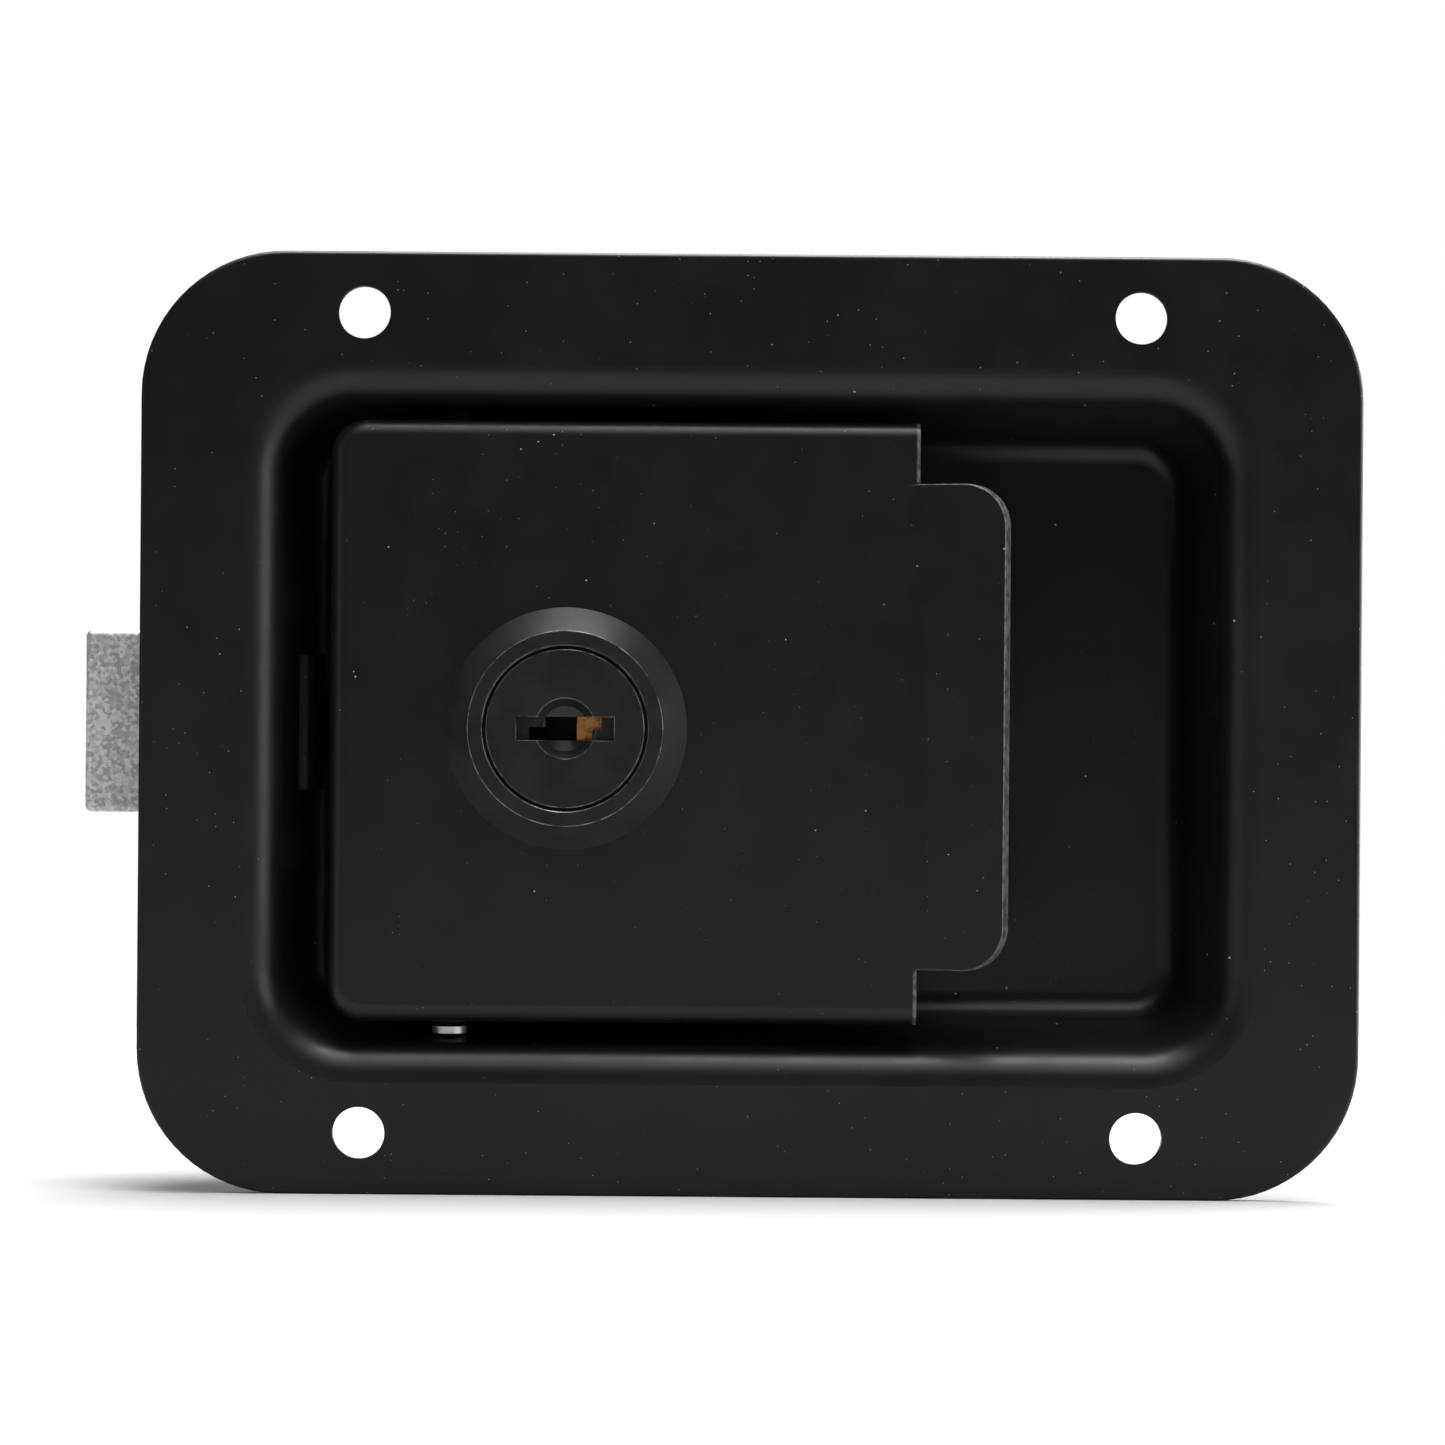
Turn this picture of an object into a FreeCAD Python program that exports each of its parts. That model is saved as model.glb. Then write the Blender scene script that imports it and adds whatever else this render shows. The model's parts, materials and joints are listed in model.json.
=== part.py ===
import FreeCAD, Part
import math
import os

from FreeCAD import Vector

# Flush paddle latch: a stamped dish with a swinging paddle, a key lock in the paddle and a
# sprung slam bolt in a case behind the dish.
# Frame: +X to the right as seen from the front, +Z up, +Y into the door.
# Origin: middle of the four mounting holes, on the back face of the flange. Millimetres.

# ---- driving dimensions: dish ----
PLATE_WIDTH = 140.0          # flange, along X
PLATE_HEIGHT = 108.0         # flange, along Z
PLATE_CORNER_R = 16.5
SHEET = 1.5                  # dish sheet
HOLE_FROM_SIDE = 25.5        # mounting holes to the flange's short sides
HOLE_FROM_EDGE = 7.0         # mounting holes to the flange's long edges
HOLE_R = 3.0
FLANGE_SIDE = 15.5           # flange left and right of the dish's mouth
FLANGE_EDGE = 16.65          # flange above and below the dish's mouth
DISH_CORNER_R = 9.0
DISH_DEPTH = 20.0            # front face to the floor's front
DRAFT_DEG = 10.0             # lean of the dish walls
MOUTH_BEND_R = 4.6
PLATE_EDGE_R = 0.5           # rolled front edge of the flange
FLOOR_BEND_R = 3.0

# ---- driving dimensions: paddle ----
PADDLE_WIDTH = 67.6          # flat part, without the finger tab
PADDLE_SIDE_GAP = 2.8        # mouth of the dish to the paddle's long edges
PADDLE_RAISE = 0.3           # paddle's middle above the dish's, from its play on the pin
PADDLE_LEFT_GAP = 6.2        # mouth of the dish to the paddle's left end
PADDLE_SHEET = 2.0
PADDLE_SET_BACK = 0.5        # front of the flange to the front of the paddle
PADDLE_CORNER_R = 4.0
PADDLE_BEND_R = 2.0
PADDLE_LEFT_SKIRT = 5.0      # depth of the folded left edge, from the paddle's front
PADDLE_SIDE_SKIRT = 8.0      # depth of the folded long edges, from the paddle's front
TAB_LENGTH = 9.65            # finger tab, measured along X
TAB_HEIGHT = 55.7
TAB_CORNER_R = 5.0
TAB_RISE_DEG = 20.0
TAB_BEND_R = 7.4             # front of the soft bend between paddle and tab
TAB_BEND_START = 1.5         # bend starts this far left of the paddle's right edge
EDGE_R = 0.25                # rolled edge of cut sheet
SWING_DEG = 27.0             # how far the paddle opens

# ---- driving dimensions: hinge ----
PIN_R = 2.0
PIN_FROM_LEFT = 13.7         # paddle's left end to the pin's axis
PIN_STICK_OUT = 1.2          # pin end beyond its clip
EAR_WALL = 2.5               # paddle ear round the pin
RUNNING_GAP = 0.08           # radial clearance of a pin or shaft that turns
FIT_GAP = 0.05               # radial clearance of a pin held in a sheet

# ---- driving dimensions: lock ----
LOCK_FROM_LEFT = 27.2        # paddle's left end to the lock's axis
LOCK_DROP = 0.5              # lock's axis below the dish's middle
BEZEL_BASE_R = 13.9
BEZEL_RIM_R = 11.15
BEZEL_HEIGHT = 3.0
PLUG_HEAD_R = 9.1
PLUG_HEAD_THICK = 1.5
PLUG_RECESS = 0.15           # plug face below the bezel's rim
PLUG_HEAD_GAP = 0.35         # radial gap round the plug's head
PLUG_SEAT_GAP = 0.15         # plug's head to the bezel's floor
PLUG_CORE_R = 6.95
BARREL_R = 9.5
BARREL_FLAT = 17.6           # across the barrel's two flats
BARREL_LENGTH = 15.2         # behind the paddle's front face
NUT_ACROSS_FLATS = 22.0
NUT_THICK = 2.2
LOCK_WASHER_R = 10.9
LOCK_WASHER_THICK = 0.6
KEY_SLOT_WIDTH = 11.2
KEY_SLOT_HEIGHT = 2.7
KEY_SLOT_STEP = 1.45         # shallow step at each end of the key slot
KEY_SLOT_STEP_DEPTH = 0.9
WARD_LEFT = 2.3              # upper left ward of the key channel, from the plug's axis
WARD_RIGHT = 3.1             # lower right ward of the key channel, from the plug's axis
WARD_GAP = 0.15              # each ward's edge above or below the slot's middle
KEY_DISH_R = 3.5             # round lead-in at the middle of the key slot
KEY_DISH_FLOOR_R = 2.6
KEY_DISH_WALL = 1.2          # depth of the lead-in's steep wall
KEY_DISH_POINT = 1.1         # depth of its cone beyond the wall
KEY_HOLE_DEPTH = 12.0
WAFER_COUNT = 5
WAFER_THICK = 1.0
WAFER_PITCH = 2.1
WAFER_HEIGHT = 4.2
WAFER_RIGHT = 4.3            # right end of a wafer, from the plug's axis
WAFER_LEFT = 6.3             # left end of a wafer, from the plug's axis
WAFER_EDGE = 1.3             # right edge of a wafer's window, from the plug's axis
WAFER_GAP = 0.1
WAFER_SPRING_R = 0.5
CAM_THICK = 1.8
CAM_WIDTH = 9.0
CAM_REACH = 17.0
CAM_GAP = 0.2                # barrel end to cam
CAM_HUB_R = 5.6
CAM_SQUARE = 5.8             # square tail of the plug
SCREW_R = 2.0
SCREW_HEAD_R = 3.6
SCREW_HEAD_THICK = 1.0
CAM_WASHER_R = 4.4
CAM_WASHER_THICK = 0.6

# ---- driving dimensions: bolt and its case ----
BOLT_OUT = 7.2               # tip of the bolt beyond the flange's side
BOLT_REAR_GAP = 0.65         # bolt to the spring seat at full travel
BOLT_HEIGHT = 21.2
BOLT_FRONT = 7.0             # front of the bolt behind the flange's back face
BOLT_BEVEL_LENGTH = 7.0      # along X
BOLT_NOSE = 4.0              # flat nose left in front of the bevel, along Y
BOLT_CORNER_R = 0.8
TAIL_THICK = 2.0
TAIL_LENGTH = 15.0           # tail of the bolt behind its head
TAIL_WIDTH = 18.0
DRAW_BAR_THICK = 1.5
DRAW_BAR_END = 3.8           # web right of the draw bar's window
SLIDE_GAP = 0.4              # dish floor to the sliding parts
GUIDE_GAP = 0.2              # bolt to its case, all round
CASE_SHEET = 1.5
CASE_HOLD = 2.2              # bolt's rear end inside the case's outer left wall
CASE_FLANGE = 6.0
CASE_END_GAP = 0.75          # draw bar to the case's right wall at full travel
CASE_BACK_GAP = 1.0          # draw bar to the case's back wall

# ---- driving dimensions: release leg ----
LEG_THICK = 2.5
LEG_WIDTH = 9.0
LEG_LEFT_OF_PIN = 2.7        # leg's right face to the pin's axis
LEG_FOOT = 8.0               # foot of the leg under the paddle, along X
LEG_PAST_BAR = 0.3           # leg tip past the draw bar's back face
LEG_SIDE_GAP = 0.7           # leg to the sides of its window and floor slot
LEG_PUSH_GAP = 0.15          # leg to the window edge that it pushes
TRAVEL_MARGIN = 0.04         # bolt travel beyond the leg's own push
LEG_FLOOR_GAP = 0.45         # leg to the ends of the floor slot

# ---- driving dimensions: springs ----
BOLT_SPRING_R = 2.6          # mean radius
BOLT_SPRING_WIRE = 0.7       # diameter
BOLT_SPRING_TURNS = 7
BOLT_SPRING_SPREAD = 11.0    # between the two springs' axes
BOLT_SPRING_DEPTH = 15.0     # springs' axes behind the flange's back face
POCKET_R = 3.5
POCKET_DEPTH = 6.0
PADDLE_SPRING_ROOM = 2.5     # pin's surface to the wire's centre line
PADDLE_SPRING_GAP = 0.4      # spring to the paddle's back and to the dish floor
PADDLE_SPRING_WIRE = 1.2
PADDLE_SPRING_TURNS = 5
PADDLE_SPRING_PITCH = 1.35
PADDLE_SPRING_LOW = 14.4     # lowest turn above the dish's middle
PADDLE_SPRING_LEG = 10.2     # leg along the paddle's back
PADDLE_SPRING_SLOPE = 40.0   # the other leg's slope towards the floor, in degrees

# ---- driving dimensions: spring seat ----
SEAT_SHEET = 1.2
SEAT_WIDTH = 15.8
SEAT_TOP = 10.4              # bridge of the seat behind the flange's back face
SEAT_INNER_LENGTH = 5.6
SEAT_OUTER_LENGTH = 9.0
SEAT_STAND_OFF = 0.8         # outer leg of the seat to the wall at the bridge
SEAT_GAP = 0.1               # seat to the wall that it hooks over
WINDOW_TOP = 9.3             # front end of the wall window
WINDOW_SIDE_GAP = 0.15

# ---- driving dimensions: lock keeper and fasteners ----
KEEPER_SHEET = 1.5
KEEPER_WIDTH = 12.0
KEEPER_SHELF_GAP = 0.5       # locked cam to the keeper's shelf
KEEPER_SHELF_FROM = 12.6     # shelf's free edge above the dish's middle
KEEPER_SHELF = 5.4
KEEPER_FOOT = 7.5
RIVET_R = 1.6
RIVET_HEAD_R = 2.8
RIVET_HEAD_THICK = 1.1
CASE_RIVET_IN = 3.5          # left rivets to the end of the flat floor
CASE_RIVET_SPACING = 14.5
CLIP_THICK = 0.8
CLIP_R = 3.6
CLIP_GAP = 0.3               # clip to the dish wall, at the clip's front edge
GROOVE_DEPTH = 0.5

# ---- places worked out from the driving dimensions ----
DISH_WIDTH = PLATE_WIDTH - 2 * FLANGE_SIDE
DISH_HEIGHT = PLATE_HEIGHT - 2 * FLANGE_EDGE
HOLE_SPACING_X = PLATE_WIDTH - 2 * HOLE_FROM_SIDE
HOLE_SPACING_Z = PLATE_HEIGHT - 2 * HOLE_FROM_EDGE
FRONT = -SHEET
FLOOR_FRONT = FRONT + DISH_DEPTH
FLOOR_BACK = FLOOR_FRONT + SHEET
DRAFT = math.tan(math.radians(DRAFT_DEG))
WALL = SHEET / math.cos(math.radians(DRAFT_DEG))
PADDLE_HEIGHT = DISH_HEIGHT - 2 * PADDLE_SIDE_GAP
PADDLE_LEFT = -DISH_WIDTH / 2 + PADDLE_LEFT_GAP
PADDLE_FRONT = FRONT + PADDLE_SET_BACK
PADDLE_BACK = PADDLE_FRONT + PADDLE_SHEET
PADDLE_RIGHT = PADDLE_LEFT + PADDLE_WIDTH
PADDLE_SPRING_R = PIN_R + PADDLE_SPRING_ROOM
PIN_X = PADDLE_LEFT + PIN_FROM_LEFT
PIN_DEPTH = PADDLE_BACK + PADDLE_SPRING_GAP + PADDLE_SPRING_WIRE / 2 + PADDLE_SPRING_R
EAR_R = PIN_R + EAR_WALL
LOCK_X = PADDLE_LEFT + LOCK_FROM_LEFT
BEZEL_TOP = PADDLE_FRONT - BEZEL_HEIGHT
PLUG_TOP = BEZEL_TOP + PLUG_RECESS
BARREL_END = PADDLE_FRONT + BARREL_LENGTH
CAM_TOP = BARREL_END + CAM_GAP
CAM_BACK = CAM_TOP + CAM_THICK
TAIL_TOP = FLOOR_BACK + SLIDE_GAP
BAR_TOP = TAIL_TOP + TAIL_THICK
BAR_BACK = BAR_TOP + DRAW_BAR_THICK
CASE_INNER_BACK = BAR_BACK + CASE_BACK_GAP
CASE_BACK = CASE_INNER_BACK + CASE_SHEET
SWING = math.radians(SWING_DEG)
LEG_REACH = BAR_BACK + LEG_PAST_BAR - PIN_DEPTH
# full swing: where the leg's right face meets the draw bar, measured from the pin
PUSH_DEPTH = min(LEG_LEFT_OF_PIN * math.sin(SWING) + LEG_REACH * math.cos(SWING),
                 BAR_BACK - PIN_DEPTH)
LEG_PUSH = PUSH_DEPTH * math.tan(SWING) - LEG_LEFT_OF_PIN / math.cos(SWING) + LEG_LEFT_OF_PIN
BOLT_TRAVEL = LEG_PUSH + TRAVEL_MARGIN
LEG_RIGHT = PIN_X - LEG_LEFT_OF_PIN
LEG_LEFT = LEG_RIGHT - LEG_THICK
WINDOW_RIGHT = LEG_RIGHT + LEG_PUSH_GAP
WINDOW_LEFT = LEG_LEFT - BOLT_TRAVEL - LEG_FLOOR_GAP
BAR_RIGHT = WINDOW_RIGHT + DRAW_BAR_END
CASE_INNER_RIGHT = BAR_RIGHT + BOLT_TRAVEL + CASE_END_GAP
CASE_RIGHT = CASE_INNER_RIGHT + CASE_SHEET
CASE_INNER_HALF = BOLT_HEIGHT / 2 + GUIDE_GAP
CASE_OUTER_HALF = CASE_INNER_HALF + CASE_SHEET
WALL_AT_SEAT = DISH_WIDTH / 2 - (SEAT_TOP - FRONT) * DRAFT + WALL
SEAT_FACE = WALL_AT_SEAT + SEAT_STAND_OFF + SEAT_SHEET
BOLT_REAR = -(SEAT_FACE + BOLT_TRAVEL + BOLT_REAR_GAP)
BOLT_TIP = PLATE_WIDTH / 2 + BOLT_OUT
CASE_LEFT = CASE_HOLD - BOLT_REAR
INTO = Vector(0, 1, 0)
UP = Vector(0, 0, 1)


def dish_half(half_at_mouth, depth):
    """Half width or height of the dish's inside at a depth y."""
    return half_at_mouth - (depth - FRONT) * DRAFT


def box(x0, x1, y0, y1, z0, z1):
    """Block between two corners."""
    return Part.makeBox(x1 - x0, y1 - y0, z1 - z0, Vector(x0, y0, z0))


def rod(radius, y0, y1, x=0.0, z=0.0):
    """Cylinder along Y."""
    return Part.makeCylinder(radius, y1 - y0, Vector(x, y0, z), INTO)


def post(radius, z0, z1, x, y):
    """Cylinder along Z."""
    return Part.makeCylinder(radius, z1 - z0, Vector(x, y, z0), UP)


def rounded_wire(half_x, half_z, radius, y):
    """Rounded rectangle in the plane at depth y, centred on the Y axis."""
    ix = half_x - radius
    iz = half_z - radius
    bow = radius * math.sqrt(0.5)
    edges = []
    for sx, sz in ((1, 1), (-1, 1), (-1, -1), (1, -1)):
        first = Vector(sx * half_x, y, sz * iz)
        middle = Vector(sx * (ix + bow), y, sz * (iz + bow))
        last = Vector(sx * ix, y, sz * half_z)
        if sx * sz < 0:
            first, last = last, first
        edges.append(Part.Arc(first, middle, last).toShape())
    ring = []
    for index, arc in enumerate(edges):
        following = edges[(index + 1) % 4]
        ring.append(arc)
        ring.append(Part.makeLine(arc.Vertexes[-1].Point, following.Vertexes[0].Point))
    return Part.Wire(ring)


def rounded_plate(half_x, half_z, radius, y0, y1):
    face = Part.Face(rounded_wire(half_x, half_z, radius, y0))
    return face.extrude(Vector(0, y1 - y0, 0))


def dish_solid(offset, y0, y1):
    """Tapered block with the dish's inner shape, grown sideways by offset."""
    wires = []
    for y in (y0, y1):
        shrink = (y - FRONT) * DRAFT - offset
        wires.append(rounded_wire(DISH_WIDTH / 2 - shrink, DISH_HEIGHT / 2 - shrink,
                                  DISH_CORNER_R - shrink, y))
    return Part.makeLoft(wires, True, True)


def edges_at(shape, y, inside=None):
    """Edges that lie in the plane at depth y, and within inside (half_x, half_z) of the axis."""
    found = []
    for edge in shape.Edges:
        bounds = edge.BoundBox
        flat = abs(bounds.YMin - y) < 1e-4 and abs(bounds.YMax - y) < 1e-4
        near = inside is None or (bounds.XMax < inside[0] and bounds.XMin > -inside[0]
                                  and bounds.ZMax < inside[1] and bounds.ZMin > -inside[1])
        if flat and near:
            found.append(edge)
    return found


def fillet_at(shape, y, radius, inside=None):
    return shape.makeFillet(radius, edges_at(shape, y, inside))


def helix_spring(mean_r, wire_r, pitch, turns, start_angle=0.0, legs=None):
    """Round wire wound along +Z about the Z axis, with a straight tangent leg at each end."""
    height = pitch * turns
    helix = Part.makeHelix(pitch, height, mean_r)
    helix.rotate(Vector(0, 0, 0), UP, start_angle)
    pieces = [helix]
    first = Vector(mean_r * math.cos(math.radians(start_angle)),
                   mean_r * math.sin(math.radians(start_angle)), 0)
    tangent = Vector(-first.y / mean_r, first.x / mean_r, 0)
    if legs:
        end_angle = math.radians(start_angle + 360.0 * turns)
        last = Vector(mean_r * math.cos(end_angle), mean_r * math.sin(end_angle), height)
        along = Vector(-last.y / mean_r, last.x / mean_r, 0)
        pieces = [Part.makeLine(first - tangent * legs[0], first), helix,
                  Part.makeLine(last, last + along * legs[1])]
    solids = []
    for piece in pieces:
        wire = Part.Wire(piece.Edges)
        origin = wire.OrderedEdges[0].valueAt(wire.OrderedEdges[0].FirstParameter)
        direction = wire.OrderedEdges[0].tangentAt(wire.OrderedEdges[0].FirstParameter)
        section = Part.Wire(Part.makeCircle(wire_r, origin, direction))
        pipe = Part.BRepOffsetAPI.MakePipeShell(wire)
        pipe.setFrenetMode(True)
        pipe.add(section)
        pipe.build()
        pipe.makeSolid()
        solids.append(pipe.shape())
    joined = solids[0]
    for solid in solids[1:]:
        joined = joined.fuse(solid)
    return joined


def rivet(x, z, y_head, y_tail):
    """Rivet along Y: a domed head that stands towards the front and a shop head behind."""
    shank = rod(RIVET_R, y_head, y_tail, x, z)
    head = rod(RIVET_HEAD_R, y_head - RIVET_HEAD_THICK, y_head, x, z)
    head = fillet_at(head, y_head - RIVET_HEAD_THICK, RIVET_HEAD_THICK * 0.8)
    closed = rod(RIVET_HEAD_R, y_tail, y_tail + RIVET_HEAD_THICK, x, z)
    closed = fillet_at(closed, y_tail + RIVET_HEAD_THICK, RIVET_HEAD_THICK * 0.6)
    return shank.fuse([head, closed]).removeSplitter()


def case_rivet_places():
    z = CASE_OUTER_HALF + CASE_FLANGE / 2
    flat = math.tan(math.radians(45 - DRAFT_DEG / 2)) * FLOOR_BEND_R
    left = -dish_half(DISH_WIDTH / 2, FLOOR_FRONT) + flat + CASE_RIVET_IN
    return [(x, side * z) for x in (left, left + CASE_RIVET_SPACING) for side in (-1, 1)]


def keeper_rivet_places():
    z = KEEPER_SHELF_FROM + KEEPER_SHELF + KEEPER_SHEET + KEEPER_FOOT / 2 + 0.3
    return [(LOCK_X + side * KEEPER_WIDTH * 0.29, z) for side in (-1, 1)]


def make_pan():
    """Flange and dish in one sheet, with holes for screws, pin, rivets, leg and spring seat."""
    flange = rounded_plate(PLATE_WIDTH / 2, PLATE_HEIGHT / 2, PLATE_CORNER_R, FRONT, 0)
    outer = dish_solid(WALL, FRONT, FLOOR_BACK)
    outer = fillet_at(outer, FLOOR_BACK, FLOOR_BEND_R + SHEET)
    body = flange.fuse(outer).removeSplitter()
    body = fillet_at(body, 0, MOUTH_BEND_R - SHEET, (PLATE_WIDTH / 2 - 1, PLATE_HEIGHT / 2 - 1))
    inner = fillet_at(dish_solid(0, FRONT - 2, FLOOR_FRONT), FLOOR_FRONT, FLOOR_BEND_R)
    body = body.cut(inner)
    body = fillet_at(body, FRONT, MOUTH_BEND_R, (PLATE_WIDTH / 2 - 1, PLATE_HEIGHT / 2 - 1))
    outline = [e for e in edges_at(body, FRONT)
               if max(abs(e.CenterOfMass.x) - PLATE_WIDTH / 2,
                      abs(e.CenterOfMass.z) - PLATE_HEIGHT / 2) > -PLATE_CORNER_R / 2]
    body = body.makeFillet(PLATE_EDGE_R, outline)
    cuts = []
    for sx in (-1, 1):
        for sz in (-1, 1):
            cuts.append(rod(HOLE_R, FRONT - 1, 1, sx * HOLE_SPACING_X / 2, sz * HOLE_SPACING_Z / 2))
    cuts.append(post(PIN_R + FIT_GAP, -PLATE_HEIGHT / 2, PLATE_HEIGHT / 2, PIN_X, PIN_DEPTH))
    for x, z in case_rivet_places() + keeper_rivet_places():
        cuts.append(rod(RIVET_R, FLOOR_FRONT - 1, FLOOR_BACK + 1, x, z))
    slot_half = LEG_WIDTH / 2 + LEG_SIDE_GAP
    slot_right = (PIN_X + (FLOOR_BACK - PIN_DEPTH) * math.tan(SWING)
                  - LEG_LEFT_OF_PIN / math.cos(SWING))
    cuts.append(box(LEG_LEFT - LEG_FLOOR_GAP, slot_right + LEG_FLOOR_GAP,
                    FLOOR_FRONT - 1, FLOOR_BACK + 1, -slot_half, slot_half))
    window_half = SEAT_WIDTH / 2 + WINDOW_SIDE_GAP
    cuts.append(box(-DISH_WIDTH / 2 - 2 * WALL, -DISH_WIDTH / 2 + DISH_DEPTH * DRAFT,
                    WINDOW_TOP, SEAT_TOP + SEAT_SHEET + SEAT_GAP, -window_half, window_half))
    return body.cut(cuts)


def make_bolt_case():
    """Stamped box behind the dish that guides the bolt and covers the draw bar."""
    front = BOLT_FRONT - GUIDE_GAP - CASE_SHEET
    beside_front = -dish_half(DISH_WIDTH / 2, front) - WALL - SLIDE_GAP
    beside_floor = -dish_half(DISH_WIDTH / 2, FLOOR_BACK) - WALL - SLIDE_GAP
    left = -CASE_LEFT
    half = CASE_OUTER_HALF
    outline = [Vector(left, front, -half),
               Vector(beside_front, front, -half),
               Vector(beside_floor, FLOOR_BACK, -half),
               Vector(CASE_RIGHT, FLOOR_BACK, -half),
               Vector(CASE_RIGHT, CASE_BACK, -half),
               Vector(left, CASE_BACK, -half),
               Vector(left, front, -half)]
    block = Part.Face(Part.makePolygon(outline)).extrude(Vector(0, 0, 2 * half))
    corners = []
    for edge in block.Edges:
        bounds = edge.BoundBox
        at_left = abs(bounds.XMin - left) < 1e-4 and abs(bounds.XMax - left) < 1e-4
        at_back = abs(bounds.YMin - CASE_BACK) < 1e-4 and abs(bounds.YMax - CASE_BACK) < 1e-4
        if at_left or at_back:
            corners.append(edge)
    block = block.makeFillet(CASE_SHEET, corners)
    inside = CASE_INNER_HALF
    hollow = box(left + CASE_SHEET, beside_floor, front + CASE_SHEET, CASE_INNER_BACK,
                 -inside, inside)
    hollow = hollow.fuse(box(beside_floor - 1, CASE_INNER_RIGHT, FLOOR_BACK - 1, CASE_INNER_BACK,
                             -inside, inside))
    case = block.cut(hollow)
    mouth = box(left - 1, left + CASE_SHEET + 1, BOLT_FRONT - GUIDE_GAP,
                BAR_TOP + GUIDE_GAP, -BOLT_HEIGHT / 2 - GUIDE_GAP, BOLT_HEIGHT / 2 + GUIDE_GAP)
    case = case.cut(mouth)
    flange_left = -(dish_half(DISH_WIDTH / 2, FLOOR_BACK) + WALL - FLOOR_BEND_R - SHEET)
    for side in (-1, 1):
        near = side * (half - CASE_SHEET)
        far = side * (half + CASE_FLANGE)
        strip = box(flange_left, CASE_RIGHT, FLOOR_BACK, FLOOR_BACK + CASE_SHEET,
                    min(near, far), max(near, far))
        case = case.fuse(strip)
    holes = [rod(RIVET_R, FLOOR_BACK - 1, FLOOR_BACK + CASE_SHEET + 1, x, z)
             for x, z in case_rivet_places()]
    return case.cut(holes).removeSplitter()


def make_case_rivets():
    return [rivet(x, z, FLOOR_FRONT, FLOOR_BACK + CASE_SHEET) for x, z in case_rivet_places()]


def make_spring_seat():
    """Sheet clip hooked over the front edge of the dish's left wall; the bolt springs push on it."""
    half = SEAT_WIDTH / 2
    bridge_back = SEAT_TOP + SEAT_SHEET
    inner_end = SEAT_TOP + SEAT_INNER_LENGTH
    top_x = -dish_half(DISH_WIDTH / 2, SEAT_TOP) + SEAT_GAP
    end_x = -dish_half(DISH_WIDTH / 2, inner_end) + SEAT_GAP
    corners = [Vector(-SEAT_FACE, SEAT_TOP, -half),
               Vector(top_x + SEAT_SHEET, SEAT_TOP, -half),
               Vector(end_x + SEAT_SHEET, inner_end, -half),
               Vector(end_x, inner_end, -half),
               Vector(top_x + SEAT_SHEET * DRAFT, bridge_back, -half),
               Vector(-SEAT_FACE + SEAT_SHEET, bridge_back, -half),
               Vector(-SEAT_FACE + SEAT_SHEET, SEAT_TOP + SEAT_OUTER_LENGTH, -half),
               Vector(-SEAT_FACE, SEAT_TOP + SEAT_OUTER_LENGTH, -half)]
    outline = Part.makePolygon(corners + [corners[0]])
    seat = Part.Face(outline).extrude(Vector(0, 0, SEAT_WIDTH))
    bends = []
    for edge in seat.Edges:
        bounds = edge.BoundBox
        outer_corner = bounds.XMin < -SEAT_FACE + 1e-4 or bounds.XMax > top_x + SEAT_SHEET - 1e-4
        at_top = abs(bounds.YMax - SEAT_TOP) < 1e-4
        if at_top and outer_corner and bounds.ZLength > half and bounds.XLength < 1e-4:
            bends.append(edge)
    return seat.makeFillet(SEAT_SHEET * 0.8, bends)


def clip_base():
    """Height of the pin clips: clear of the leaning wall at the clip's front edge."""
    return dish_half(DISH_HEIGHT / 2, PIN_DEPTH - CLIP_R) + WALL + CLIP_GAP


def make_hinge_pin():
    """Plain pin through the dish walls, grooved for a clip at each end."""
    end = clip_base() + CLIP_THICK + PIN_STICK_OUT
    pin = post(PIN_R, -end, end, PIN_X, PIN_DEPTH)
    pin = pin.makeChamfer(0.4, [e for e in pin.Edges if e.BoundBox.ZLength < 1e-4])
    wall = clip_base()
    for side in (-1, 1):
        base = min(side * wall, side * (wall + CLIP_THICK))
        ring = post(PIN_R + 1, base, base + CLIP_THICK, PIN_X, PIN_DEPTH)
        ring = ring.cut(post(PIN_R - GROOVE_DEPTH, base, base + CLIP_THICK, PIN_X, PIN_DEPTH))
        pin = pin.cut(ring)
    return pin


def make_pin_clips():
    """Open ring clip in each groove of the pin."""
    wall = clip_base()
    inner = PIN_R - GROOVE_DEPTH
    clips = []
    for side in (-1, 1):
        base = min(side * wall, side * (wall + CLIP_THICK)) + 0.1
        clip = post(CLIP_R, base, base + CLIP_THICK - 0.2, PIN_X, PIN_DEPTH)
        clip = clip.cut(post(inner, base - 1, base + 2, PIN_X, PIN_DEPTH))
        mouth = box(PIN_X - inner * 0.8, PIN_X + inner * 0.8, PIN_DEPTH, PIN_DEPTH + CLIP_R + 1,
                    base - 1, base + 2)
        clips.append(clip.cut(mouth))
    return clips


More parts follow.
